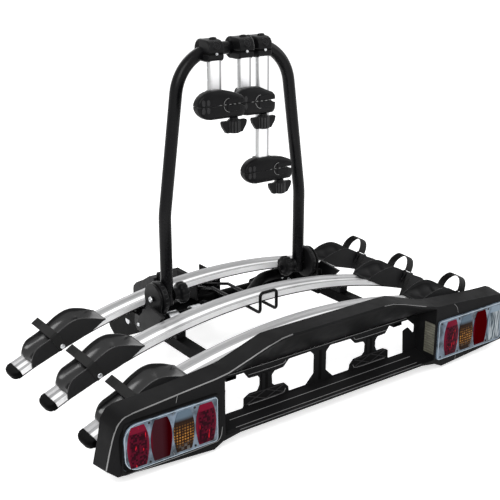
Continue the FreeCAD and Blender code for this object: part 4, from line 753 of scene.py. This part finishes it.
def end_caps(side, word):
    """Rounded caps drawn over the rails' ends: square over the rail, and rounder towards their tips."""
    mesh = bmesh.new()
    for front in RAIL_FRONTS:
        rings = []
        for along in (-9, -8.5, -4, -1, 0, 2, 4.5, 7, 9, 10.5, 11.5, CAP_LENGTH):
            share = max(0.0, along) / CAP_LENGTH
            half = (RAIL_WIDTH / 2 + CAP_WALL) * math.sqrt(1 - 0.80 * share * share)
            roundness = 1.0 if along > 0 else 0.35
            drop = 3.8 * max(0.0, (along - 5) / 7) ** 2 + (0.6 if along < -8.8 else 0)
            tall = RAIL_HEIGHT / 2 + CAP_WALL - drop
            turn = math.asin(RAIL_REACH / RAIL_RADIUS) + along / RAIL_RADIUS
            rings.append([on_rail(turn, RAIL_RADIUS + RAIL_HEIGHT / 2 + tall * swelled(s, 0.45 * roundness),
                                  front + RAIL_WIDTH / 2 + half * swelled(c, 0.30 * roundness), side)
                          for c, s in turns(28, 180 / 28)])
        add_rings(mesh, rings)
    piece("rail_caps_" + word, mesh, FRAME, "rail_end_caps", angle=45.0)


def rails():
    """The rails' finish, and a painted shadow line low on each side of a rail."""
    end = math.asin(SHADE_LINE_REACH / RAIL_RADIUS)
    for row, front in enumerate(RAIL_FRONTS, 1):
        softened("rail_%d" % row, RAIL_METAL, 0.4, 20.0)
        # painted shadow: a near-black strip low on each side of the rail
        mesh = bmesh.new()
        for y, inward in ((front - 0.15, 0.3), (front + RAIL_WIDTH + 0.15, -0.3)):
            section = ((0.3, 0), (2.8, 0), (2.8, inward), (0.3, inward))
            add_rings(mesh, [[on_rail(end * step / 48, RAIL_RADIUS + height, y + shift) for height, shift in section]
                             for step in range(-48, 49)])
        piece("rail_seams_%d" % row, mesh, SHADOW)
    for side, word in SIDES:
        end_caps(side, word)
    softened("rail_saddles", HARD_PLASTIC, 1.5)


# Frame, hinges and hoop

def steelwork():
    for material, nodes in ((FRAME, "beam_left beam_right beam_extensions gusset_plates pivot_tube coupling_frame "
                                    "cross_tube handle_guide"),
                            (STEEL, "coupling_lever tilt_handle hoop"),
                            (ZINC, "coupling_bolts handle_spring tube_brackets"),
                            (CAST, "coupling_head ball_lock_jaw")):
        for node in nodes.split():
            coat(node, material)
    for _, word in SIDES:
        softened("hinge_plate_" + word, STEEL, 1.2)


def hinge_hub(side, word):
    """A dished hub with a stepped rim and short radial ribs, between the leg and the plate."""
    mesh = bmesh.new()
    matrix = placed((side * HUB_INNER, HOOP_Y, HINGE_Z), Z, X * side)
    add_lathe(mesh, [(12, 0), (34, 0), (38.5, 2), (40, 6), (40, HUB_DEPTH * 0.62), (38.2, HUB_DEPTH * 0.78),
                     (34, HUB_DEPTH * 0.84), (32.5, HUB_DEPTH), (12, HUB_DEPTH)], matrix, 56)
    for c, s in turns(24):
        outward = Vector((c, s))
        across = Vector((-s, c)) * 0.9
        rib = [outward * 39.3 - across, outward * 39.3 + across, outward * 40.5 + across * 0.6,
               outward * 40.5 - across * 0.6]
        add_prism(mesh, rib, 6.5, HUB_DEPTH * 0.6, matrix)
    add_lathe(mesh, [(5, -77), (5, HUB_DEPTH + 8)], matrix, 24)
    piece("hub_" + word, mesh, HARD_PLASTIC, "hinge_hubs", bevel=0.8)


def fold_knob(side, word):
    """A lobed knob with a domed cap and a plain neck, inside the leg."""
    profile = ((15, 179.2, 0), (15, 169, 0), (16.5, 166.5, 0), (21.5, 165, 0.5), (24.8, 162, 1), (25.6, 157, 1),
               (25.6, 151, 1), (24.8, 147.5, 1), (22.2, 145.5, 0.7), (18, 144.8, 0), (14, 144.8, 0), (13.2, 144, 0),
               (11, 142.5, 0), (6, 141.5, 0), (1, 141.2, 0))
    mesh = bmesh.new()
    matrix = placed((0, HOOP_Y, HINGE_Z), Z, X * side)
    rings = []
    for radius, height, lobed in profile:
        ring = []
        for c, s in turns(64):
            reach = radius * (1 - 0.13 * lobed * max(0.0, math.cos(8 * math.atan2(s, c))) ** 2)
            ring.append(matrix @ Vector((reach * c, reach * s, height)))
        rings.append(ring)
    add_rings(mesh, rings)
    node = "fold_knob_" + word
    piece("moulded_" + node, mesh, HARD_PLASTIC, node, angle=50.0)


def hinge_shield(side, word):
    """The wide round head of a hinge plate, its foot on the beam's side, and the web between them."""
    head = [(HOOP_Y + SHIELD_RADIUS * c, HINGE_Z + SHIELD_RADIUS * s) for c, s in turns(20, -24, 228, True)]
    head += [(-404.5, 132), (-406, 113.5), (-321.5, 113.5), (-323.5, 132)]
    foot = [(-455.8, 153.5), (-437.3, 134.9), (-418.2, 111), (-392.4, 95), (-352.9, 90.1), (-334.3, 92.4),
            (-335.2, 104.1), (-345.9, 120.5), (-368.4, 143.1), (-385.7, 161.3)]
    web = [(-390, 112), (-352, 112), (-352, 138), (-390, 138)]
    mesh = bmesh.new()
    for outline, inner, outer in ((head, 229.1, 233.6), (foot, 253.2, 260), (web, 232, 255)):
        add_prism(mesh, outline, side * inner, side * outer, SIDEWAYS)
    piece("hinge_shield_" + word, mesh, HARD_PLASTIC, "hinge_plate_" + word, 1.2, 3)


def hinges():
    for side, word in SIDES:
        hinge_hub(side, word)
        fold_knob(side, word)
        hinge_shield(side, word)


# Light board and grid

def light_board():
    softened("light_board", PLASTIC, 2.2)
    softened("number_plate_grid", PLASTIC, 0.6)


def add_line(mesh, points, y, radius):
    """A thin bar through (x, z) points at one depth."""
    add_tube(mesh, smooth_path([(x, y, z) for x, z in points], 1), radius, 8)


def board_trim():
    """Painted highlight lines along the light board's creases and ledges, its ribs painted paler as a highlight, and
    painted shade in its slots.
    """
    mesh = bmesh.new()
    # painted highlight lines along the board's creases and ledges
    crease = [(x - 0.7, z - 0.8) for x, z in BOARD_CREASE]
    add_line(mesh, [(-x, z) for x, z in crease], BOARD_FRONT + 0.4, 1.3)
    add_line(mesh, crease[:3], BOARD_FRONT + 0.4, 0.9)
    add_line(mesh, [(-524, 3.5), (-322, 3.5), (-309.5, 12), (-306.5, 34)], BOARD_FRONT - 3.2, 0.7)
    for side, _ in SIDES:
        for z, hook in ((90.2, 97.5), (19.7, 30)):
            corners = ((196, z), (106, z), (99, (z + hook) / 2), (97.5, hook))
            add_line(mesh, [(side * x, height) for x, height in corners], GRID_FRONT - 0.6, 0.7)
    add_line(mesh, [(-262, 104), (262, 104)], GRID_FRONT - 0.8, 0.6)
    for y, z in ((-712, 13.6), (-735, 7.2), (-750.5, 9.2)):
        add_line(mesh, [(-259, z), (259, z)], y, 0.6)
    for start, end in (((-406.6, 134), (-410.4, 118.5)), ((354.5, 138.5), (366, 127)), ((366, 127), (370, 113)),
                       ((372, 1), (370, -8))):
        add_line(mesh, [start, end], BOARD_FRONT - 0.1, 0.5)
    piece("board_edge_lines", mesh, EDGE)
    # painted highlight: the foot's ribs drawn paler
    mesh = bmesh.new()
    for side, _ in SIDES:
        for start, low, end, high in ((100, 22.5, 148, 41.5), (100, 41.5, 148, 22.5), (152, 22.5, 200, 41.5),
                                      (152, 41.5, 200, 22.5), (98, 21.5, 202, 21.5), (104, 42.5, 196, 42.5)):
            add_line(mesh, [(side * start, low), (side * end, high)], GRID_FRONT - 0.4, 0.9)
    piece("post_foot_ribs", mesh, DIM_EDGE)
    # painted shade: dark blocks in the post's slots
    mesh = bmesh.new()
    for x in (-149.5, 149.5):
        add_block(mesh, (x - 3.2, GRID_FRONT - 2.6, 47), (x + 3.2, GRID_FRONT - 1.8, 83))
    add_block(mesh, (-3.8, GRID_FRONT - 0.6, 22), (3.8, GRID_FRONT + 0.4, 94))
    piece("post_slots", mesh, SHADOW, bevel=0.3)


def lamp_rim():
    """A raised rim round the left lamp, with rounded corners."""
    rim_width = 5
    radius = 9
    outlines = []
    for inset in (radius, radius + rim_width):
        corners = ((-310 - inset, 2 + inset, 270), (-534 + inset, 2 + inset, 180), (-526 + inset, 109 - inset, 90),
                   (-310 - inset, 109 - inset, 0))
        outlines.append([(x + radius * c, z + radius * s) for x, z, start in corners
                         for c, s in reversed(turns(7, start, 90, True))])
    mesh = bmesh.new()
    add_rings(mesh, [[(ox, BOARD_FRONT + 1, oz), (ox, BOARD_FRONT - 1.2, oz),
                      (ox * 0.6 + ix * 0.4, BOARD_FRONT - 3, oz * 0.6 + iz * 0.4), (ix, BOARD_FRONT - 1.2, iz),
                      (ix, BOARD_FRONT + 4, iz)] for (ox, oz), (ix, iz) in zip(*outlines)], closed=True)
    piece("lamp_rim_left", mesh, PLASTIC)


# Lamps

def lens_outline(x):
    """A barrel-shaped outline round a lamp's field, narrower at the top."""
    shares = [step / 6 - 1 for step in range(13)]
    right = [(x + 23.6 - share * share * (8.4 + 1.6 * share), LAMP_MIDDLE_Z + LENS_REACH * share) for share in shares]
    return right + [(2 * x - px, pz) for px, pz in reversed(right)]


def add_lens(mesh, x, side):
    """A lens with a softly domed face."""
    profile = ((1.0, -1), (1.0, 1), (0.965, 1.8), (0.80, 2.4), (0.5, 2.8), (0.15, 2.9))
    add_rings(mesh, [[(side * (x + (px - x) * shrink), LAMP_FACE - front,
                       LAMP_MIDDLE_Z + (pz - LAMP_MIDDLE_Z) * (shrink * 0.5 + 0.5)) for px, pz in lens_outline(x)]
                     for shrink, front in profile])


def box_ring(low, high, radii, inset, y):
    """A rounded rectangle at one depth, drawn in all round; its left and right corners have their own radius."""
    left, right = radii
    corners = ((high[0] - right, high[1] - right, right, 0), (low[0] + left, high[1] - left, left, 90),
               (low[0] + left, low[1] + left, left, 180), (high[0] - right, low[1] + right, right, 270))
    return [(x + (radius - inset) * c, y, z + (radius - inset) * s) for x, z, radius, start in corners
            for c, s in turns(7, start, 90, True)]


def lamp_covers():
    """The clear covers with a painted highlight on their rims, painted shade in the gap round the left one, and the
    right lamp's inner wall.
    """
    # painted shade in the gap round the left lamp's cover
    mesh = bmesh.new()
    add_rings(mesh, [box_ring((-535, 1), (-312, 112), (36, 10), inset, y)
                     for inset, y in ((0, BOARD_FRONT + 0.4), (0.4, BOARD_FRONT - 1.6))])
    piece("lamp_gap", mesh, SHADOW)
    covers = bmesh.new()
    rims = bmesh.new()
    for cover in (((-527.5, 7), (-317, 106), (30, 8)), ((303.5, 7), (530, 106), (8, 16))):
        add_rings(covers, [box_ring(*cover, inset, y) for inset, y in (
            (0, BOARD_FRONT + 0.4), (0, LAMP_FACE + 2.6), (0.6, LAMP_FACE + 1.1), (2.2, LAMP_FACE))])
        add_rings(rims, [box_ring(*cover, inset, LAMP_FACE + back) for inset, back in (
            (1, 0.8), (1, -0.3), (2.2, -0.3), (2.2, 0.8))], closed=True)
    piece("lamp_covers", covers, LAMP, angle=50.0)
    # painted highlight: the covers' pale rims
    piece("lamp_cover_rims", rims, CLEAR_EDGE)
    mesh = bmesh.new()
    add_block(mesh, (296.6, -750.5, 22), (303.2, -719, 98))
    for rib in range(8):
        z = 28 + 8.5 * rib
        add_block(mesh, (295.5, -749.5, z), (296.8, -720.5, z + 2.2))
    piece("lamp_inner_wall", mesh, LAMP_SIDE, bevel=0.3)
    # painted highlight: the covers' short ribs drawn pale
    mesh = bmesh.new()
    for side, _ in SIDES:
        for start, end in ((11.4, 17.2), (101.6, 95.8)):
            for x in (371.3, 422, 472.7):
                add_tube(mesh, [(side * (x - 3), LAMP_FACE - 0.2, start), (side * x, LAMP_FACE - 0.4, end)], 0.4, 6)
    piece("lamp_cover_ribs", mesh, EDGE)


def lamps():
    inner, middle, plain, outer = FIELD_X
    groups = (("red_lenses", RED, "lens_red", ((inner, -1), (outer, -1), (inner, 1))),
              ("amber_lenses", AMBER, "lens_amber", ((middle, -1), (middle, 1))),
              ("red_reflectors", REFLECTOR, "reflector", ((plain, -1), (plain, 1))),
              ("clear_lens", CLEAR, "lamp_clear", ((outer, 1),)))
    for node, material, slot, places in groups:
        for number, (x, side) in enumerate(places, 1):
            mesh = bmesh.new()
            add_lens(mesh, x, side)
            piece("%s_%d" % (node, number), mesh, material, node)
    softened("lamp_housings", LAMP, 1.5)
    lamp_covers()
    mesh = bmesh.new()
    for x in (-371.3, -472.7, 371.3, 472.7, 313):
        for z in (98.5, 15):
            add_dome_bolt(mesh, (x, LAMP_FACE, z), -Y, 2.6, 1.2)
    piece("lamp_screw_heads", mesh, CAST, "lamp_screws")


# Holding arms

def clamp(index):
    """A collar round the top bar, and before it a split pad that takes the arm's bar, with its bolt."""
    start, end = CLAMP_BODY[index]
    number = str(index + 1)
    node = "arm_clamp_" + number
    axis = placed((0, HOOP_Y, TOP_Z), Y, X)
    bar = BAR_X[index]
    mesh = bmesh.new()
    profile = [(14.9, start + 4), (20, start + 1), (22.5, start), (24.3, start + 0.8), (24.6, start + 3),
               (24, start + 7), (24.3, end - 4), (23.2, end - 1.2), (20.5, end), (14.9, end)]
    add_lathe(mesh, profile, placed((0, HOOP_Y, TOP_Z), Z, X), 48)
    piece("clamp_collar_" + number, mesh, HARD_PLASTIC, node, angle=35.0)
    mesh = bmesh.new()
    upper = [(2, 24), (-14, 23.8), (-28, 22.2), (-36.5, 18.2), (-41.2, 11), (-42, 3), (-42, -5.2), (2, -5.2)]
    lower = [(2, -7.6), (-41.5, -7.6), (-40, -18), (-35, -23.2), (-20, -24.5), (2, -24)]
    core = [(2, -4.5), (-39.7, -4.5), (-39.7, -8.5), (2, -8.5)]
    for outline in (upper, lower):
        add_prism(mesh, outline, min(start + 3, bar - 19.2), end, axis)
    piece("clamp_pad_" + number, mesh, HARD_PLASTIC, node, bevel=4.2, segments=4)
    # painted shade in the split between the pad's halves
    mesh = bmesh.new()
    add_prism(mesh, core, min(start + 4.5, bar - 18.4), end - 2, axis)
    piece("clamp_split_" + number, mesh, SHADOW, node)
    mesh = bmesh.new()
    add_lathe(mesh, [(9.5, -4), (9.5, 1), (8.6, 1.9), (7, 1.9), (6.2, 0.8), (4.2, 0.8), (3.6, 2), (1, 2.3)],
              placed((bar, HOOP_Y - 39.8, TOP_Z + 11.5), X, (0, -0.93, 0.37)))
    add_lathe(mesh, [(2, end - 23), (4.6, end - 21.5), (5.4, end - 17), (5.4, end - 11), (4.6, end - 6.5),
                     (2, end - 5)],
              placed((0, HOOP_Y - 16, TOP_Z + 22.5), Z, X), 24)
    piece("clamp_boss_" + number, mesh, HARD_PLASTIC, node, bevel=0.3)
    mesh = bmesh.new()
    add_hex_bolt(mesh, (bar, HOOP_Y - 40.5, TOP_Z - 6.4), -Y, 2.5, 3)
    piece("clamp_bolt_" + number, mesh, ZINC, node, 0.2)
    # painted highlight along the collar's edge
    mesh = bmesh.new()
    add_tube(mesh, [(start + 0.8, HOOP_Y + 24 * c, TOP_Z + 24 * s) for c, s in turns(17, 110, 90, True)], 0.7, 8)
    piece("clamp_edge_" + number, mesh, EDGE, node)


def jaw_height(length, along, top):
    """A jaw half's height at a distance from the mouth."""
    points = [(0, 4), (1.2, 9), (4, 15), (9, 20.8), (16, 26), (24, 29.2), (34, 31)]
    if top:
        points += [(66, 31), (length - 24, 24.5), (length - 4, 16.5), (length, 12.5)]
    else:
        points += [(length - 6, 31), (length - 2, 29.8), (length, 26.5)]
    for (start, low), (end, high) in zip(points, points[1:]):
        if along <= end + 1e-6:
            return low + (high - low) * (along - start) / (end - start)
    return points[-1][1]


def add_jaw(mesh, index, top):
    """A rounded half of a jaw, its flat side at the split."""
    length = JAW_LENGTH[index]
    sign = 1 if top else -1
    stations = [0, 1.2, 4, 9, 16, 24, 34, 45, 56, 66]
    stations += [66 + (length - 70) * step / 4 for step in range(1, 5)] + [length - 1.5, length]
    rings = []
    for along in stations:
        half = JAW_HALF_WIDTH * min(1.0, 0.62 + 0.38 * math.sqrt(min(along / 22, 1.0)))
        if along > length - 2:
            half -= 1.2
        floor = 6.2 if not top and along > length - 12 else 0.7
        tall = jaw_height(length, along, top) - floor
        rings.append([(JAW_X[index] + along, JAW_Y[index] + half * swelled(c, JAW_SQUARENESS),
                       JAW_Z[index] + sign * (floor + tall * s ** JAW_SQUARENESS))
                      for c, s in half_turn()])
    add_rings(mesh, rings)


def add_neck(mesh, index):
    """What joins an upper jaw to the bar behind it: a long tapering neck, or a short block."""
    middle = JAW_Z[index]
    start = JAW_Y[index]
    end = BAR_Y + 12
    bar = BAR_X[index]
    if end - start < 20:
        add_block(mesh, (bar - 19.5, start - 10, middle + 1), (bar + 19.5, end, middle + 31))
        return
    rings = []
    for step in range(7):
        share = step / 6
        ease = share * share * (3 - 2 * share)
        centre = (JAW_X[index] + 50) * (1 - ease) + bar * ease
        half = 30 * (1 - ease) + 20 * ease
        tall = 30.3 * (1 - ease) + (NECK_TOP[index] - 0.7) * ease
        rings.append([(centre + half * swelled(c, 0.5), start + (end - start) * share, middle + 0.7 + tall * s ** 0.5)
                      for c, s in half_turn()])
    add_rings(mesh, rings)


def add_pad(mesh, x, y, z):
    """A raised oval on a jaw's face."""
    add_rings(mesh, [[(x + 4.2 * c * share, y - out, z + 7.3 * s * share) for c, s in turns(24)]
                     for share, out in ((1, 0), (0.98, 1.68), (0.84, 2.4))])


def jaws(index):
    """Both halves of a jaw, each with its hinge block, pads painted paler as a highlight and a painted highlight arc,
    and the teeth at the split painted pale as glints.
    """
    number = str(index + 1)
    middle = JAW_Z[index]
    start = JAW_X[index]
    end = start + JAW_LENGTH[index]
    front = JAW_Y[index] - JAW_HALF_WIDTH
    halves = (("upper", 1, (45, 1.6), (4, 11.5), "jaw_arc_", 14, (95, 75)),
              ("lower", -1, (46, -15), (12, -1.6), "jaw_edge_", 16, (190, 80)))
    for word, sign, low, high, edge, rise, sweep in halves:
        node = word + "_jaw_" + number
        mesh = bmesh.new()
        add_jaw(mesh, index, sign > 0)
        if sign > 0:
            add_neck(mesh, index)
        piece("moulded_" + node, mesh, HARD_PLASTIC, node, bevel=0.6, angle=40.0)
        mesh = bmesh.new()
        add_block(mesh, (end - low[0], front - 1.6, middle + low[1]), (end - high[0], front + 4, middle + high[1]))
        piece("hinge_block_%s_%s" % (word, number), mesh, HARD_PLASTIC, node, bevel=1.4, segments=3)
        # painted highlight: the pads drawn paler
        mesh = bmesh.new()
        for along in (11.5, 23.5):
            add_pad(mesh, start + along, front + 1.6, middle + sign * 7.8)
        piece("jaw_pads_%s_%s" % (word, number), mesh, DIM_EDGE, node)
        # painted highlight: a pale arc near the jaw's end
        mesh = bmesh.new()
        add_tube(mesh, [(end - 41 + 15 * c, front - 1, middle + rise * s) for c, s in turns(6, *sweep, True)], 0.6, 8)
        piece(edge + number, mesh, EDGE, node)
        if sign > 0:
            # painted highlight: pale teeth as glints along the split
            mesh = bmesh.new()
            for step in range(3 if index == 2 else 5):
                x = end - 66 + 12 * step
                out = 2.4 if x > end - 46 else 1
                add_block(mesh, (x, front - out, middle - 0.2), (x + 4.5, front + 2, middle + 1))
            piece("jaw_teeth_" + number, mesh, EDGE, node)


def wing(index):
    """A softened wing knob, with flutes round its hub painted paler as a highlight."""
    node = "wing_knob_%d" % (index + 1)
    softened(node, HARD_PLASTIC, 1.2)
    x = JAW_X[index] + JAW_LENGTH[index] - WING_INSET[index]
    top = JAW_Z[index] - 38.4
    # painted highlight: the hub's flutes drawn paler
    mesh = bmesh.new()
    for c, s in turns(12, 15):
        add_tube(mesh, [(x + 12.8 * c, JAW_Y[index] + 12.8 * s, z) for z in (top - 26, top - 1)], 2.1, 8)
    piece("hub_flutes_%d" % (index + 1), mesh, DIM_EDGE, node)


def arms():
    for index in range(3):
        clamp(index)
        jaws(index)
        wing(index)
        node = "arm_bar_%d" % (index + 1)
        coat(node, BAR_METAL)
        mesh = bmesh.new()
        for z in (JAW_Z[index] + 40, TOP_Z - 36):
            add_dome_bolt(mesh, (BAR_X[index] - 17.2, BAR_Y, z), -X, 2, 1.2)
        piece("bar_rivets_%d" % (index + 1), mesh, ZINC, body=body_of(node))


# Studio, in metres

def world():
    """White where it is seen, and dimmer from above as a light."""
    made = bpy.data.worlds.new("studio")
    bpy.context.scene.world = made
    nodes = Nodes(made)
    height = nodes.ramp(nodes.parts(nodes.places["Generated"])["Z"], 1.0, 0.40, 0.15, 0.95)
    background = nodes.tree.nodes["Background"]
    nodes.fill(background.inputs["Strength"], nodes.most(nodes.showing_rays(), height))
    nodes.fill(background.inputs["Color"], (1, 1, 1, 1))


def floor():
    height = CAD_BOX[0].z - 0.0005
    reach = 14.0
    mesh = bmesh.new()
    mesh.faces.new([mesh.verts.new((x * reach, y * reach, height)) for x, y in ((-1, -1), (1, -1), (1, 1), (-1, 1))])
    mesh_object("floor", mesh, floor_finish())


def lamp(name, place, size, power):
    """A square lamp that faces the carrier's middle."""
    light = bpy.data.lights.new(name, "AREA")
    light.energy = power
    light.size = size
    made = add_object(name, light)
    made.location = place
    aim = Vector((0, -0.45, 0.25)) - Vector(place)
    made.rotation_euler = aim.to_track_quat("-Z", "Y").to_euler()


def studio():
    world()
    floor()
    lamp("key", (-1.6, -2.2, 2.2), 1.6, 46)
    lamp("fill", (2.4, -1.6, 1.8), 1.8, 16)
    lamp("back", (0.4, 2.6, 2.4), 2.0, 22)


def camera():
    data = bpy.data.cameras.new("photo_camera")
    data.lens = CAMERA_LENS
    data.sensor_width = 36.0
    data.clip_end = 60.0
    made = add_object("photo_camera", data)
    made.location = CAMERA_PLACE
    made.rotation_euler = (math.radians(90 - CAMERA_PITCH), 0, math.radians(-CAMERA_YAW))
    bpy.context.scene.camera = made


bpy.context.scene.view_settings.view_transform = "Standard"
steelwork()
fasteners()
rails()
cups()
straps()
hinges()
light_board()
board_trim()
lamp_rim()
lamps()
arms()
studio()
camera()
